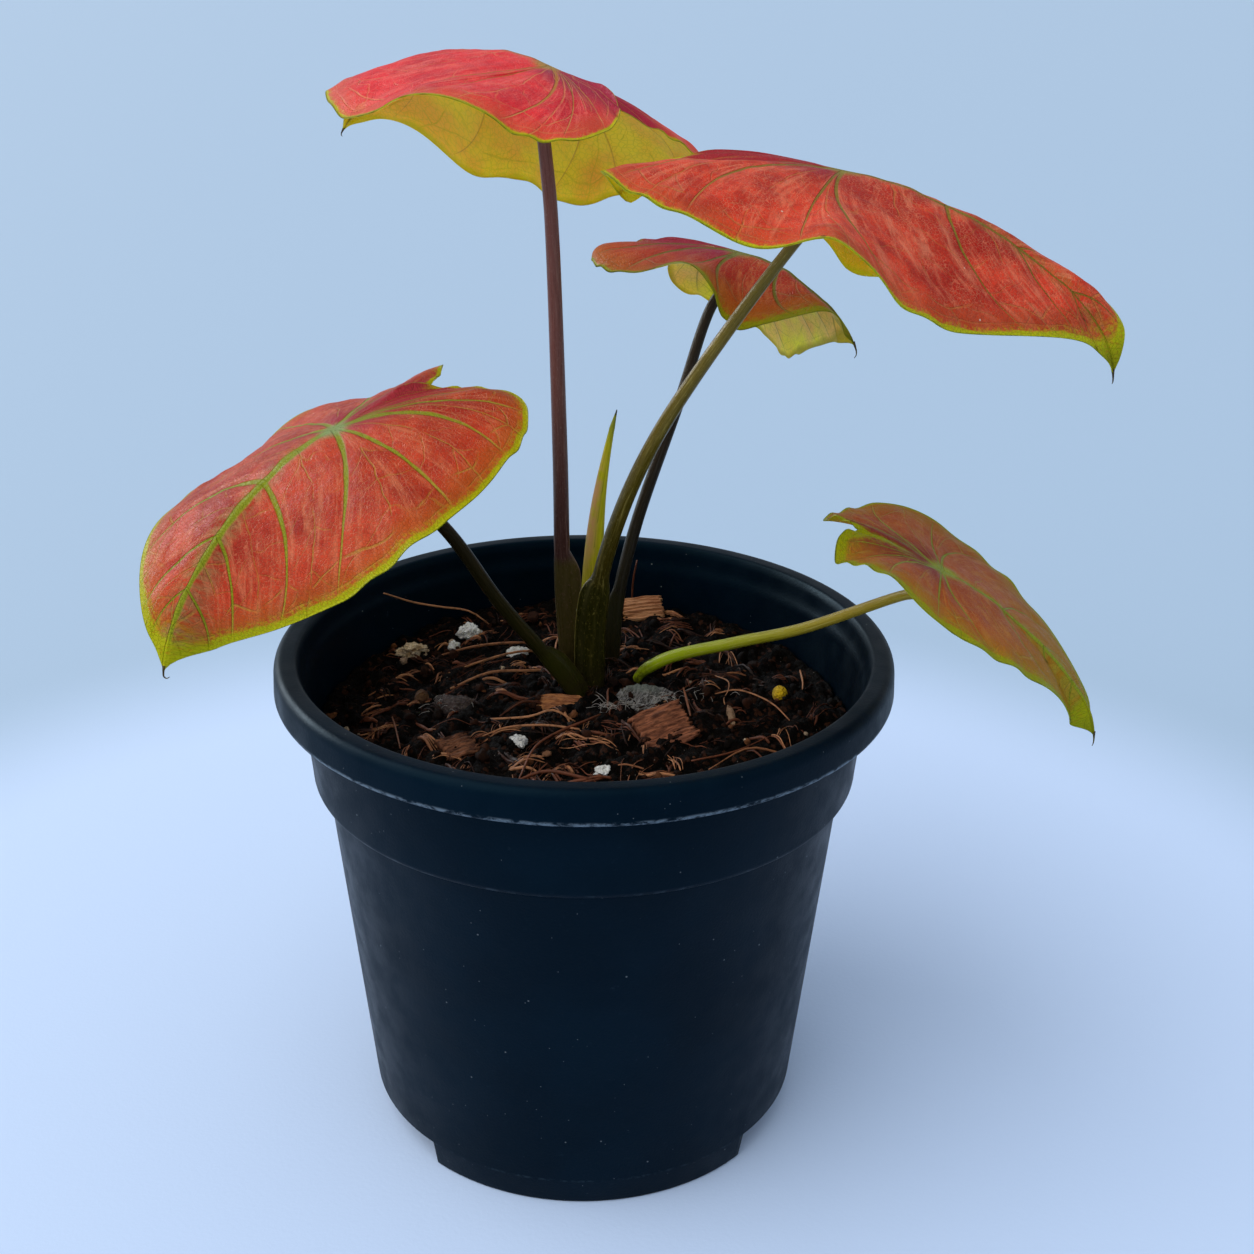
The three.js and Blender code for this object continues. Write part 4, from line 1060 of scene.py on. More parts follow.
def spear_look():
    look = Look("rolled_leaf")
    share, lap = look.uv("run")
    side, back = look.uv("around")
    veins = look.noise(1.4, 4.0, 0.6, where=look.vector(side * 2.5, back * 2.5, share * 6.0))
    look.base((0.46, 0.42, 0.006), (0.66, 0.58, 0.02), veins.step(0.35, 0.7))
    blush = share.step(0.35, 0.6) * share.step(0.9, 0.72) * side.step(0.5, -0.6)
    look.coat((0.70, 0.34, 0.15), blush * look.noise(0.25, 2.0).step(0.3, 0.55) * 0.85)
    look.coat((0.17, 0.21, 0.03), share.step(0.86, 0.97, 0.0, 0.8))
    look.coat((0.012, 0.012, 0.006), share.step(0.975, 0.99))
    look.coat((0.16, 0.15, 0.006), lap.step(0.97, 0.995) * 0.6)
    return look.finish(0.42, veins, 0.12, 0.08)


# Pot

def collar_at(z):
    return np.interp(z, (STEP_HEIGHT, RIM_BOTTOM), COLLAR_RADIUS)


def wall_at(z):
    low, high = WALL_RADIUS
    return low + (high - low) * (z - FOOT_HEIGHT) / (STEP_HEIGHT - FOOT_HEIGHT)


def inside_at(z):
    """The pot's inner radius at a height, which the potting mix follows."""
    above = STEP_HEIGHT + 2
    if z <= STEP_HEIGHT:
        return wall_at(z) - POT_WALL
    if z <= above:
        return np.interp(z, (STEP_HEIGHT, above), (wall_at(STEP_HEIGHT), collar_at(above))) - POT_WALL
    return collar_at(z) - POT_WALL


def eased(profile, steps=4):
    """A profile of (radius, height, easing): each corner is rounded over that length."""
    points = []
    for i, (r, z, ease) in enumerate(profile):
        here = np.array([r, z], float)
        if not ease:
            points.append(here)
            continue
        ways = [np.array(profile[j][:2], float) - here for j in (i - 1, i + 1)]
        start, end = (here + unit(way) * min(ease, np.linalg.norm(way) * 0.49) for way in ways)
        for s in np.linspace(0, 1, steps + 1):
            points.append((1 - s) ** 2 * start + 2 * s * (1 - s) * here + s * s * end)
    return np.array(points)


def in_arch(turn, extra):
    """True where a direction in degrees lies in one of the two arches under the pot."""
    return np.abs((turn - ARCH_TURN + 90) % 180 - 90) < ARCH_HALF_ANGLE + extra


def make_pot():
    low, high, top = STEP_HEIGHT, RIM_BOTTOM, POT_HEIGHT
    outer = eased((
        (0.01, 0, 0), (12, 0, 0), (22, 0, 0), (HUB_RADIUS - 0.1, 0, 0), (HUB_RADIUS + 0.1, 0, 0), (37, 0, 0),
        (49, 0, 0), (FOOT_RADIUS, 0, 0.8), (wall_at(FOOT_HEIGHT), FOOT_HEIGHT, 0.5), (wall_at(50), 50, 0),
        (wall_at(low - 0.6), low - 0.6, 0.5), (collar_at(low) - 0.4, low - 0.3, 0.5),
        (collar_at(low) + 0.15, low + 0.6, 0.6), (collar_at(low + 4), low + 4, 0),
        (collar_at(high), high, 0), (70.35, high + 6, 0.6), (RIM_RADIUS - 1.2, high + 6, 0.8),
        (RIM_RADIUS - 0.9, high, 0.2), (RIM_RADIUS + 0.1, high, 0.4), (RIM_RADIUS + 0.6, high + 0.7, 0.5),
        (RIM_RADIUS + 0.3, top - 1.6, 1.2), (RIM_RADIUS - 1, top, 1.0), (MOUTH_RADIUS + 0.9, top, 0.7),
        (MOUTH_RADIUS, top - 1.6, 0.8), (MOUTH_RADIUS - 0.5, high + 3.5, 1.2),
        (inside_at(high), high + 1, 1.2), (inside_at(low + 2), low + 2, 0.6), (inside_at(low), low, 0),
    ))
    inner = eased((
        (inside_at(50), 50, 0), (inside_at(FOOT_HEIGHT + 3), FOOT_HEIGHT + 3, 0), (inside_at(3.6), 3.6, 0),
        (inside_at(POT_WALL) - 2.5, POT_WALL, 0), (47, POT_WALL, 0), (37, POT_WALL, 0),
        (HUB_RADIUS - POT_WALL + 0.1, POT_WALL, 0), (HUB_RADIUS - POT_WALL - 0.1, POT_WALL, 0),
        (0.01, POT_WALL, 0),
    ))
    thick = np.degrees(POT_WALL / FOOT_RADIUS)
    turns = list(np.arange(0, 360, 360 / POT_SIDES))
    for middle in (ARCH_TURN, ARCH_TURN + 180):
        for half in (ARCH_HALF_ANGLE, ARCH_HALF_ANGLE + thick):
            turns += [middle + sign * half + shift for sign in (-1, 1) for shift in (-0.12, 0.12)]

    columns = []
    for turn in np.unique(np.round(np.mod(turns, 360), 3)):
        profiles = []
        for profile, wall, extra in ((outer, 0, 0), (inner, POT_WALL, thick)):
            r, z = profile.T
            arched = in_arch(turn, extra) & (r > HUB_RADIUS - wall) & (z < FOOT_HEIGHT + wall)
            profiles.append(ring(r, np.radians(turn), np.where(arched, FOOT_HEIGHT + wall, z)))
        columns.append(np.vstack(profiles))
    points = np.stack(columns, 1)
    pot = mesh_object("nursery_pot", points.reshape(-1, 3), tube_faces(*points.shape[:2]), [pot_look()])
    cut(pot, drain_cutter())
    place(pot, "pot_plastic", "pot")


def drain_cutter():
    """Six upright rods where the drain holes go."""
    parts = []
    for side in (0, 180):
        for shift in (-DRAIN_SPACING, 0, DRAIN_SPACING):
            heights = np.array([FOOT_HEIGHT - 3, FOOT_HEIGHT + 4])
            centres = ring(DRAIN_CIRCLE, np.radians(ARCH_TURN + side + shift), heights)
            parts.append((*sweep(centres, np.array([DRAIN_RADIUS * circle(40)] * 2), (1, 0, 0)), {}))
    points, faces, _ = joined(parts)
    return mesh_object("drain_rods", points, faces, [])


def cut(thing, cutter):
    """Takes the cutter out of the thing and removes it."""
    modifier = thing.modifiers.new("cut", "BOOLEAN")
    modifier.object = cutter
    modifier.solver = "EXACT"
    graph = bpy.context.evaluated_depsgraph_get()
    mesh = bpy.data.meshes.new_from_object(thing.evaluated_get(graph))
    thing.modifiers.clear()
    thing.data = mesh
    bpy.data.objects.remove(cutter)


def pot_look():
    """Blue-black moulded plastic: satin, dusty, scuffed, and worn pale along the rim's lower edge."""
    look = Look("pot_plastic")
    x, y, z = look.parts(look.where)
    turn = look.math("ARCTAN2", y, x)
    look.base((0.0002, 0.0036, 0.0095), (0.0006, 0.0056, 0.0135), look.noise(0.03, 4.0).step(0.35, 0.65))
    look.coat((0.010, 0.024, 0.040), look.noise(0.5, 5.0, 0.75).step(0.58, 0.8, 0.0, 0.22))
    worn = z.step(RIM_BOTTOM + 1.5, RIM_BOTTOM + 0.7) * z.step(RIM_BOTTOM - 0.6, RIM_BOTTOM - 0.2)
    worn = worn * look.away(x, y).step(RIM_RADIUS - 0.6, RIM_RADIUS - 0.1)
    chips = look.noise(0.6, 5.0, 0.7, where=look.vector(turn * 40.0, z))
    look.coat((0.15, 0.20, 0.25), worn * chips.step(0.40, 0.58) * 0.85)
    step_line = abs(z - STEP_HEIGHT).step(0.9, 0.3)
    look.coat((0.035, 0.055, 0.075), step_line * chips.step(0.48, 0.66) * 0.5)
    foot_line = abs(z - FOOT_HEIGHT).step(0.5, 0.15)
    look.coat((0.03, 0.05, 0.07), foot_line * chips.step(0.50, 0.62) * 0.35)
    look.coat((0.22, 0.25, 0.28), (look.specks(0.35, 0.10, 0.93) + look.specks(0.9, 0.14, 0.965)) * 0.5)
    scratches = look.noise(0.55, 5.0, 0.8, where=look.vector(turn * 62.0, z * 0.12))
    look.coat((0.03, 0.045, 0.06), scratches.step(0.7, 0.8) * 0.3)
    scuffs = look.noise(0.5, 6.0, 0.8, where=look.vector(turn * 30.0, z * 0.5))
    look.coat((0.03, 0.05, 0.07), scuffs.step(0.60, 0.75) * look.noise(0.04).step(0.5, 0.65) * 0.35)
    height = look.noise(1.6, 4.0, 0.6) + look.noise(0.05, 2.0) * 6.0
    roughness = look.noise(0.12, 4.0).step(0.3, 0.7, 0.34, 0.48)
    return look.finish(roughness, height, 0.05, 0.07, Specular_Tint=(0.35, 0.8, 1.0))


# Potting mix

def soil_height(x, y):
    r = np.hypot(x, y)
    level = SOIL_CROWN + (SOIL_EDGE - SOIL_CROWN) * smooth(r, 20, 66) + 3.5 * smooth(y, 25, 65)
    broad = 0.8 * np.sin(0.31 * x + 1.3) * np.sin(0.27 * y + 0.7)
    fine = 0.6 * np.sin(0.53 * x - 0.41 * y + 2.1)
    return level + (broad + fine) * (1 - 0.5 * smooth(r, 55, 67))


def clods(x, y, cell, seed):
    """Heights of round clods packed side by side, one in each cell of a jittered grid."""
    random = np.random.default_rng(seed)
    size = 220
    shift = random.uniform(0.1, 0.9, (size, size, 2))
    scale = random.uniform(0.45, 1.0, (size, size))
    gx, gy = np.floor(x / cell).astype(int), np.floor(y / cell).astype(int)
    best = np.zeros(len(x))
    for i in (-1, 0, 1):
        for j in (-1, 0, 1):
            a, b = (gx + i) % size, (gy + j) % size
            dx = x / cell - (gx + i) - shift[a, b, 0]
            dy = y / cell - (gy + j) - shift[a, b, 1]
            dome = np.sqrt(np.maximum((0.75 * scale[a, b]) ** 2 - dx ** 2 - dy ** 2, 0))
            best = np.maximum(best, dome * (0.6 + 0.4 * scale[a, b]))
    return best * cell


def crumbly(x, y):
    rough = clods(x, y, 4.2, 5) * 0.55 + clods(x, y, 2.0, 6) * 0.6 + clods(x, y, 1.0, 7) * 0.5
    return soil_height(x, y) + rough - 1.5


def make_soil():
    """The mix as one body: a crumbly top, and sides and a bottom that follow the pot's inside."""
    sectors, top_rings = 400, 105
    turn = full_turn(sectors)
    rings = [ring(inside_at(z) - 0.4, turn, z) for z in (FOOT_HEIGHT + 2.2, 30, STEP_HEIGHT - 0.4)]
    for i in range(top_rings):
        radius = SOIL_RADIUS * (1 - (i / top_rings) ** 1.1)
        stagger = turn + (i % 2) * np.pi / sectors
        x, y = radius * np.cos(stagger), radius * np.sin(stagger)
        rings.append(np.stack([x, y, crumbly(x, y)], 1))
    faces = tube_faces(len(rings), sectors)
    place(mesh_object("potting_mix", np.vstack(rings), faces, [soil_look()]), "potting_mix", "soil")


def soil_look():
    """Dark damp earth with brown crumbs and a few bright grains."""
    look = Look("potting_mix")
    look.base((0.0008, 0.0006, 0.0005), (0.0035, 0.0019, 0.0014), look.noise(0.25, 5.0, 0.7).step(0.4, 0.65))
    distance, tone = look.cells(0.9)
    look.coat((0.045, 0.016, 0.008), tone.step(0.80, 0.97, 0.0, 0.8))
    look.coat((0.35, 0.30, 0.26), look.specks(1.1, 0.16, 0.94) * 0.7)
    look.coat((0.06, 0.028, 0.014), look.noise(0.9, 5.0, 0.75, 2.5).step(0.62, 0.7, 0.0, 0.5))
    height = look.noise(1.1, 6.0, 0.75) + distance * -0.6
    return look.finish(look.noise(1.7).step(0.35, 0.7, 0.55, 0.9), height, 0.9, 0.05)


def make_crumbs():
    """Loose crumbs lying on the mix."""
    random = np.random.default_rng(12)
    base, faces = ball(1)
    parts = []
    for _ in range(CRUMBS):
        away = LOOSE_RADIUS * np.sqrt(random.uniform(0.01, 1))
        turn = random.uniform(0, 2 * np.pi)
        x, y = away * np.cos(turn), away * np.sin(turn)
        size = random.uniform(0.35, 0.8) + 0.9 * random.uniform() ** 4
        points = base * (1 + 0.35 * random.uniform(-1, 1, (len(base), 1)))
        points = points * random.uniform(0.6, 1.25, 3) * size
        points = turned(points, random.uniform(0, 360, 3))
        points = points + (x, y, crumbly(np.array([x]), np.array([y]))[0] + 0.3 * size)
        parts.append((points, faces, {"tone": np.full((len(points), 2), random.uniform())}))
    points, faces, maps = joined(parts)
    place(mesh_object("mix_crumbs", points, faces, [crumb_look()], maps=maps), "potting_mix")


def crumb_look():
    look = Look("mix_crumbs")
    tone, _ = look.uv("tone")
    look.base((0.003, 0.002, 0.0015), (0.035, 0.012, 0.006), tone.step(0.2, 0.85))
    look.coat((0.20, 0.075, 0.030), tone.step(0.86, 0.93))
    look.coat((0.55, 0.42, 0.30), tone.step(0.965, 0.985))
    look.coat((0.004, 0.003, 0.0025), look.noise(0.9, 5.0, 0.7).step(0.45, 0.7, 0.0, 0.6))
    return look.finish(0.75, look.noise(2.0, 5.0, 0.7), 0.4, 0.08)


def strand(knots, thick, tone, sides=5):
    """One flattened coir strand through the knots. tone goes from 0, dark, to 1, tan, and 1.3, white."""
    steps = max(6, int(3.2 * len(knots)))
    taper = 0.45 + 0.55 * np.sin(np.pi * np.linspace(0.06, 0.94, steps)) ** 0.5
    outlines = thick * taper[:, None, None] * circle(sides)[None] * (1.35, 0.7)
    points, faces = sweep(smooth_path(knots, steps), outlines, (0.31, 0.2, 0.5))
    return points, faces, {"tone": np.full((len(points), 2), tone)}


# Strands that the photo shows one by one: (x, y, height above the mix) of their knots, radius, tone.
# All of them lie lower and are thinner by these shares.
LONG_LIFT = 0.8
LONG_THICK = 0.7
LONG_STRANDS = (
    (
        ((-54.4, 34.9, 22), (-47.2, 43.4, 13), (-40.8, 46.4, 9.4), (-33.1, 50.6, 4.6), (-28, 52, 0)),
        0.30, 0.95,
    ),
    (((-39.3, 29, 0.8), (-31.7, 33.7, 1.4), (-22.5, 35.9, 1.6), (-13.1, 37.5, 0.6)), 0.42, 0.85),
    (((-37, 19.1, 0.6), (-28.3, 24.3, 1.5), (-17.9, 27.7, 1.8), (-7.5, 31.2, 0.8)), 0.38, 0.92),
    (((-34.9, 10.1, 0.6), (-25, 14.6, 1.4), (-14.7, 17.3, 1.4), (-5.7, 20, 0.6)), 0.42, 0.9),
    (((-47.9, -5.8, 1.2), (-46, -14, 1.6), (-43.9, -22.9, 0.8)), 0.30, 0.8),
    (
        ((-14.6, -38.8, 1.2), (-11.2, -27.2, 1.8), (-5.6, -18.2, 2), (-0.4, -13.8, 1.6), (3.9, -7.1, 0.8)),
        0.62, 0.6,
    ),
    (((-24, -9.5, 0.8), (-13.1, -9.8, 1.8), (-7.7, -9.1, 1.8), (-2.2, -9.5, 1.0)), 0.34, 0.95),
    (((-24.3, -18.7, 0.8), (-19.1, -15.4, 1.6), (-9.7, -14.6, 1.6), (-1, -17, 0.8)), 0.34, 0.9),
    (((11.6, 63.5, 0), (11.9, 62.5, 9), (12.9, 62, 17)), 0.40, 0.75),
    (((33.4, 18.7, 0.8), (36.6, 13.4, 2.4), (36.3, 8.1, 2.2), (35.1, 4, 1.4), (35.2, 0.5, 0.8)), 0.22, 0.95),
    (((33, 8, 0.8), (38.2, 8.7, 2), (43.1, 6.5, 2), (47.9, 2.1, 1.6), (51.4, -2.9, 0.8)), 0.24, 0.9),
    (((24.7, 1.9, 4), (25.8, -4.2, 3.2), (26.2, -10.3, 2.4)), 0.40, 0.8),
    (((56, 23.7, 3.2), (56.4, 19, 2), (56, 14.6, 0.8)), 0.34, 0.95),
    (((30, -33, 0.8), (40.2, -23.7, 2), (50.1, -20.3, 1)), 0.36, 0.85),
    (((26, -29, 0.8), (36, -24, 1.8), (46, -14, 1)), 0.34, 0.75),
    (((-16, -40, 1), (-8.4, -37.1, 2), (2, -39.5, 1)), 0.50, 0.5),
)
# Mould threads: the middle of each patch, how far it spreads, how many threads
WHITE_THREADS = ((7, -2.5, 5.5, 34), (18, 1, 6, 26), (-33, 0, 5, 26), (30, 8, 5, 8))


def make_strands():
    """Coir strands in loose bundles strewn over the mix, the long ones of the photo, and mould threads."""
    random = np.random.default_rng(23)
    parts = []
    for knots, thick, tone in LONG_STRANDS:
        knots = [(x, y, soil_height(x, y) + LONG_LIFT * up) for x, y, up in knots]
        parts.append(strand(knots, LONG_THICK * thick, tone))
    for _ in range(BUNDLES):
        away = BUNDLE_RADIUS * np.sqrt(random.uniform(0.01, 1))
        turn = random.uniform(0, 2 * np.pi)
        middle = away * np.array([np.cos(turn), np.sin(turn)])
        heading = random.uniform(0, 2 * np.pi)
        bend = random.normal(0, 0.05)
        long = random.uniform(3.5, 9) + 11 * random.uniform() ** 5
        tone = random.uniform()
        for _ in range(random.integers(1, 7)):
            start = middle + random.uniform(-1.1, 1.1, 2)
            knots = strand_run(random, start, heading + random.normal(0, 0.14), bend, long)
            if len(knots) > 2:
                thick = random.choice([0.07, 0.11, 0.18, 0.32], p=[0.3, 0.35, 0.25, 0.1])
                parts.append(strand(knots, thick, np.clip(tone + random.normal(0, 0.12), 0, 1)))
    for x, y, spread, count in WHITE_THREADS:
        for _ in range(count):
            start = np.array([x, y]) + random.normal(0, spread / 2, 2)
            heading, bend = random.uniform(0, 2 * np.pi), random.normal(0, 0.3)
            knots = strand_run(random, start, heading, bend, spread * 0.8)
            if len(knots) > 2:
                parts.append(strand([(a, b, c + 0.5) for a, b, c in knots], THREAD_RADIUS, 1.3))
    points, faces, maps = joined(parts)
    place(mesh_object("coir_strands", points, faces, [strand_look()], maps=maps), "potting_mix")


def strand_run(random, start, heading, bend, long):
    """Knots of a strand that arches over the mix, stopping at the pot's wall."""
    count = int(3 + long / 3.2)
    lift = random.uniform(0.1, 1.1)
    knots, at = [], start
    for share in np.linspace(0, 1, count):
        x, y = at
        if np.hypot(x, y) > LOOSE_RADIUS:
            break
        z = soil_height(x, y) - 0.1 + lift * np.sin(np.pi * share) + random.uniform(-0.2, 0.3)
        knots.append((x, y, z))
        at = at + long / count * np.array([np.cos(heading), np.sin(heading)])
        heading += bend + random.normal(0, 0.07)
    return knots


def strand_look():
    look = Look("coir_strands")
    tone, _ = look.uv("tone")
    look.base((0.018, 0.006, 0.0035), (0.16, 0.047, 0.021), tone.step(0.1, 0.65))
    look.coat((0.52, 0.23, 0.105), tone.step(0.74, 0.98))
    look.coat((0.024, 0.009, 0.005), look.noise(0.5, 4.0, 0.6).step(0.45, 0.7, 0.0, 0.55))
    look.coat((0.40, 0.37, 0.35), tone.step(1.1, 1.25))
    return look.finish(0.5, look.noise(2.5), 0.15, 0.2)


# Loose bits: place on the mix; size (long, broad, thick); lean in degrees about X, Y and Z; height
# of the middle above the mix

BITS = {
    "wood_chip": ((14.5, 58), (12.5, 7.5, 1.8), (38, -6, 10), 1.6),
    "bark_chip_front": ((20, -15), (16, 12, 2.4), (22, -8, 32), 1.0),
    "bark_chip_middle": ((-6.5, 1), (12.5, 5.5, 1.8), (14, 0, 3), 0.4),
    "bark_chip_left": ((-30, -23), (11, 7.5, 2), (12, 4, 42), 0.5),
    "dead_leaf": ((16, 2.5), (17, 12, 0.8), (9, 3, -18), 0.4),
    "fibre_lump": ((-33, 0), (11, 7, 4), (0, 0, 8), 0.4),
    "perlite_back": ((-32.8, 44.5), (6, 5, 4.6), (0, 0, 0), 1.2),
    "perlite_small": ((-36.4, 38.6), (3.2, 3, 2.8), (0, 0, 30), 0.6),
    "perlite_left": ((-47, 33.5), (8, 5.5, 4), (0, 0, 12), 0.8),
    "perlite_crown": ((-18.5, 30), (6, 4.6, 3.4), (0, 0, -28), 0.8),
    "perlite_front": ((-15.3, -22), (3.4, 4.2, 3), (0, 0, 20), 0.6),
    "perlite_near": ((5, -34), (3.6, 3, 2.6), (0, 0, 0), 0.3),
    "bark_pellet": ((-41.5, 3.5), (3.6, 3.2, 4.2), (0, 12, 0), 0.8),
    "husk": ((36.6, -3.6), (2, 7.5, 2.2), (12, 0, 6), 0.6),
    "feed_prill": ((49.8, 10.5), (3.9, 3.9, 4.3), (0, 0, 0), 1.3),
}
# Torn chips: slot, light and dark colour, seed, how ragged the ends are, how far it folds up
CHIPS = {
    "wood_chip": ("bark_tan", (0.66, 0.33, 0.16), (0.36, 0.14, 0.06), 1, 0.10, 0),
    "bark_chip_front": ("bark_brown", (0.40, 0.14, 0.065), (0.085, 0.025, 0.012), 4, 0.22, 1.6),
    "bark_chip_middle": ("bark_tan", (0.60, 0.25, 0.09), (0.20, 0.065, 0.025), 3, 0.14, 0.5),
    "bark_chip_left": ("bark_brown", (0.34, 0.13, 0.06), (0.05, 0.017, 0.009), 6, 0.42, 0.6),
}
# Lumps: slot, colour, the colour of its stains, how knobbly it is, seed
WHITE = (0.95, 0.95, 0.93)
GREY = (0.62, 0.60, 0.58)
LUMPS = {
    "perlite_back": ("perlite", WHITE, GREY, 0.3, 2),
    "perlite_small": ("perlite", WHITE, GREY, 0.3, 3),
    "perlite_crown": ("perlite", WHITE, GREY, 0.3, 4),
    "perlite_front": ("perlite", WHITE, GREY, 0.3, 5),
    "perlite_near": ("perlite", WHITE, GREY, 0.3, 6),
    "perlite_left": ("perlite", (0.85, 0.66, 0.44), (0.4, 0.24, 0.12), 0.35, 12),
    "bark_pellet": ("bark_tan", (0.16, 0.075, 0.03), (0.09, 0.035, 0.015), 0.08, 1),
    "husk": ("bark_tan", (0.36, 0.22, 0.13), (0.16, 0.08, 0.04), 0.12, 1),
    "feed_prill": ("feed_coat", (0.86, 0.55, 0.006), (0.62, 0.34, 0.004), 0.04, 1),
    "fibre_lump": ("leaf_litter", (0.10, 0.07, 0.065), (0.03, 0.02, 0.018), 0.25, 1),
}
LUMP_BALL = ball(4)


def laid(name, points):
    """The bit's points, leaned and laid on the mix."""
    (x, y), _, lean, rise = BITS[name]
    return turned(points, lean) + (x, y, soil_height(x, y) + rise)


def make_chip(name, slot, light, dark, seed, ragged, fold):
    """A torn chip of wood, splintered at its ends and folded up along its grain, which runs along X."""
    long, broad, thick = BITS[name][1]
    random = np.random.default_rng(seed)
    across, along = 46, 40
    v = np.linspace(-1, 1, across)[:, None]
    u = np.linspace(-1, 1, along)
    ends_at = [
        1 - 0.22 * np.abs(bumps(v * 6, 1.6, seed + side)) - ragged * random.uniform(0, 1, across)
        for side in (0, 1)
    ]
    x = u * np.where(u > 0, ends_at[0][:, None], ends_at[1][:, None]) * long / 2
    y = v * broad / 2 * (1 - 0.08 * np.abs(u) ** 3)
    grain = bumps(np.stack([x.ravel() * 0.12, y.ravel()], 1), 1.5, seed).reshape(x.shape)
    swell = 0.25 * bumps(np.stack([x.ravel(), y.ravel()], 1), 9, seed + 5).reshape(x.shape)
    swell = swell + fold * (np.abs(v + 0.2) - 0.6)
    half = thick / 2
    edge = half * (1 - 0.55 * np.abs(v) ** 4)
    top = edge + 0.34 * grain * half + swell + 0.22 * np.sin(v * 21 + 1.5 * grain)
    under = -edge + 0.2 * grain * half + swell
    points = np.vstack([np.stack([x, y, z], -1).reshape(-1, 3) for z in (top, under)])
    grid = np.arange(across * along).reshape(across, along)
    faces = []
    for a, b in zip(grid[:-1, :-1].ravel(), grid[1:, :-1].ravel()):
        faces += [(a, a + 1, b + 1, b), tuple(across * along + i for i in (a, b, b + 1, a + 1))]
    border = np.concatenate([grid[0], grid[1:, -1], grid[-1, -2::-1], grid[-2:0:-1, 0]])
    for a, b in zip(border, np.roll(border, -1)):
        faces.append((a, across * along + a, across * along + b, b))
    maps = {"grain": points[:, :2]}
    thing = mesh_object(name + "_torn", laid(name, points), faces, [chip_look(name, light, dark)], maps=maps)
    place(thing, slot, name)


def chip_look(name, light, dark):
    look = Look(name)
    x, y = look.uv("grain")
    grain = look.noise(1.6, 5.0, 0.7, 0.4, where=look.vector(x * 0.14, y))
    look.base(dark, light, grain.step(0.36, 0.66))
    pores = look.noise(3.5, 3.0, 0.7, where=look.vector(x * 0.1, y))
    look.coat(shade(dark, 0.3), pores.step(0.6, 0.72, 0.0, 0.7))
    look.coat(dark, look.noise(0.3).step(0.55, 0.75, 0.0, 0.5))
    return look.finish(0.75, grain + pores * -0.7, 0.45, 0.3)


def make_lump(name, slot, colour, stain, knob, seed):
    """A knobbly lump shaped from a ball."""
    base, faces = LUMP_BALL
    shape = 1 + knob * bumps(base, 1.3, seed) + 0.4 * knob * bumps(base, 0.45, seed + 9)
    points = base * shape[:, None] * np.array(BITS[name][1], float) / 2
    thing = mesh_object(name + "_grain", laid(name, points), faces, [lump_look(name, colour, stain)])
    place(thing, slot, name)


def lump_look(name, colour, stain):
    """A stained, pitted crust, with painted shade darkening its pits."""
    look = Look(name)
    look.base(colour, stain, look.noise(0.6, 4.0).step(0.4, 0.7))
    pits, _ = look.cells(1.6)
    # Darker pits: painted shade in the hollows, in a dark tone of the stain colour.
    look.coat(shade(stain, 0.4), pits.step(0.25, 0.05, 0.0, 0.5))
    return look.finish(0.8, pits * 1.5 + look.noise(2.2, 5.0, 0.7), 0.5, 0.3)


def make_dead_leaf():
    """The thin grey remains of an old leaf, ribbed and torn."""
    long, broad, thick = BITS["dead_leaf"][1]
    along, around = 40, 64
    share = np.linspace(0.001, 1, along)[:, None]
    turn = full_turn(around)
    tear = 1 - 0.22 * np.abs(bumps(circle(around) * 2.2, 1.3, 31))
    x = share * np.cos(turn) * tear * long / 2
    y = share * np.sin(turn) * tear * broad / 2
    under = 0.35 * bumps(np.stack([x.ravel(), y.ravel()], 1), 7, 8).reshape(x.shape)
    under = under + 0.22 * np.cos(2.6 * x + 1.1 * np.abs(y)) * share
    rings = np.concatenate([np.stack([x, y, under], -1), np.stack([x, y, under + thick / 2], -1)[::-1]])
    points = rings.reshape(-1, 3)
    faces = tube_faces(2 * along, around)
    maps = {"grain": points[:, :2]}
    thing = mesh_object("old_leaf", laid("dead_leaf", points), faces, [dead_leaf_look()], maps=maps)
    place(thing, "leaf_litter", "dead_leaf")


def dead_leaf_look():
    look = Look("old_leaf")
    x, y = look.uv("grain")
    ribs = look.noise(0.9, 5.0, 0.7, 1.2, where=look.vector(x * 1.4, y * 0.3))
    look.base((0.022, 0.018, 0.017), (0.24, 0.23, 0.23), ribs.step(0.42, 0.62))
    web = look.cell_edges(0.9, look.vector(x, y))
    look.coat((0.40, 0.40, 0.40), web.step(0.05, 0.01, 0.0, 0.35))
    look.coat((0.14, 0.17, 0.15), y.step(0.5, 4.0) * x.step(4.0, -3.0) * 0.7)
    return look.finish(0.8, ribs + web, 0.5, 0.3)


def dress_tuber():
    """The buried corm: brown papery skin with rings."""
    look = Look("tuber_skin")
    z = look.parts(look.where)[2]
    rings = look.math("SINE", z * 1.9 + look.noise(0.2) * 3.0)
    look.base((0.18, 0.10, 0.05), (0.32, 0.2, 0.11), look.noise(0.3, 5.0).step(0.35, 0.7))
    look.coat((0.08, 0.04, 0.02), rings.step(0.5, 0.95, 0.0, 0.6))
    material = look.finish(0.85, rings + look.noise(1.2, 5.0), 0.3, 0.3)
    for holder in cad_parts["tuber"].material_slots:
        holder.material = material


# Studio

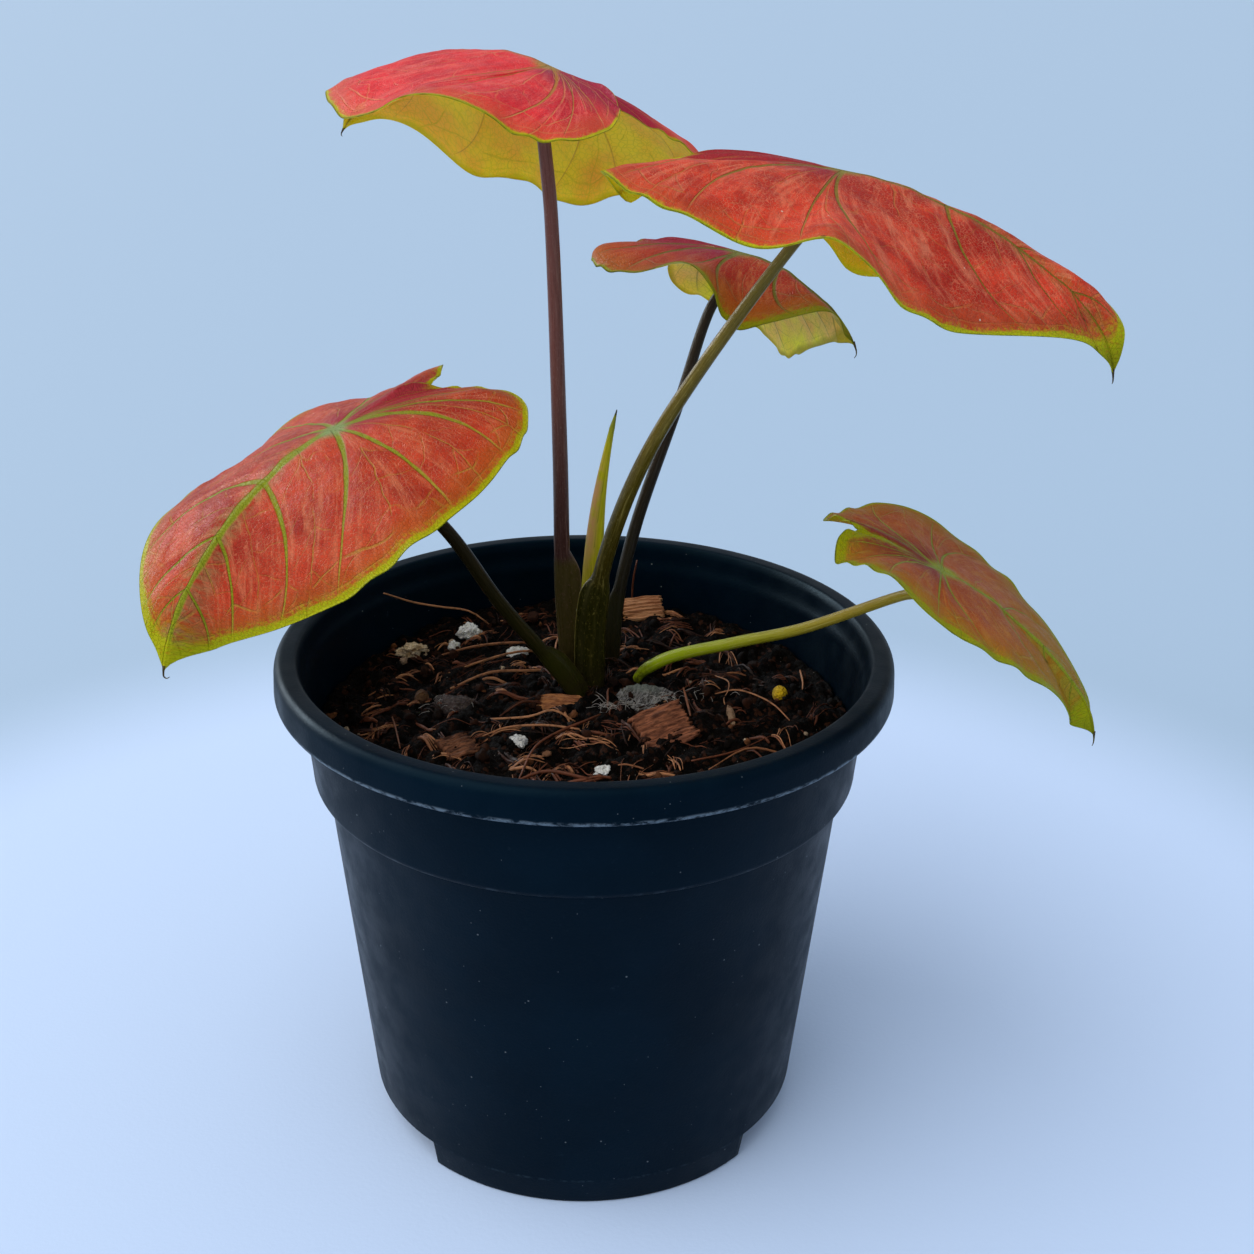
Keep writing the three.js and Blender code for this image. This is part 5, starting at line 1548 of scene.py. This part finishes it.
def make_stage():
    """A plain pale floor, whiter near the pot and bluer away from it."""
    sides, reach = 96, 6000
    points = np.vstack([(0, 0, 0), ring(reach, full_turn(sides), 0)])
    faces = [(0, 1 + i, 1 + (i + 1) % sides) for i in range(sides)]
    look = Look("floor")
    x, y, _ = look.parts(look.where)
    look.base((0.59, 0.74, 1.0), (0.40, 0.54, 0.71), look.away(x, y).step(230.0, 330.0))
    floor = mesh_object("floor", points, faces, [look.finish(0.8, look.noise(0.8), 0.05)])


def make_sun(name, energy, width, colour, direction):
    """A sun lamp as wide as some degrees of the sky, shining in a direction."""
    sun = bpy.data.lights.new(name, "SUN")
    sun.energy = energy
    sun.angle = np.radians(width)
    sun.color = colour
    lamp = bpy.data.objects.new(name, sun)
    lamp.rotation_mode = "QUATERNION"
    lamp.rotation_quaternion = Vector(direction).to_track_quat("-Z", "Y")
    bpy.context.scene.collection.objects.link(lamp)
    return lamp


def make_lights():
    """Soft daylight from all round, a broad key from the upper left, and a window seen in gloss only."""
    world = bpy.data.worlds.new("studio")
    world.use_nodes = True
    sky = world.node_tree.nodes["Background"]
    sky.inputs["Color"].default_value = (0.82, 0.90, 1.0, 1)
    sky.inputs["Strength"].default_value = 0.62
    bpy.context.scene.world = world
    make_sun("key", 1.9, 70, (1.0, 0.97, 0.93), (0.55, 0.35, -0.76))
    window = make_sun("window", 3.6, 35, (0.88, 0.94, 1.0), (0.78, -0.48, -0.38))
    window.visible_diffuse = False


def make_camera():
    lens = bpy.data.cameras.new("camera")
    lens.sensor_width = SENSOR
    lens.lens = CAMERA_FOCUS * SENSOR
    camera = bpy.data.objects.new("camera", lens)
    tilt = Matrix.Rotation(np.pi / 2 - CAMERA_PITCH, 4, "X")
    roll = Matrix.Rotation(-CAMERA_ROLL, 4, "Z")
    camera.matrix_world = Matrix.Translation(Vector(CAMERA_PLACE) * MM) @ tilt @ roll
    lens.clip_start = 0.01
    lens.clip_end = 20
    bpy.context.scene.collection.objects.link(camera)
    bpy.context.scene.camera = camera


bpy.context.scene.view_settings.view_transform = "Standard"
make_camera()
make_lights()
make_stage()
make_blades()
for stalk_name in STALKS:
    make_stalk(stalk_name)
make_spear()
make_pot()
make_soil()
make_crumbs()
make_strands()
for bit_name, chip in CHIPS.items():
    make_chip(bit_name, *chip)
for bit_name, lump in LUMPS.items():
    make_lump(bit_name, *lump)
make_dead_leaf()
dress_tuber()
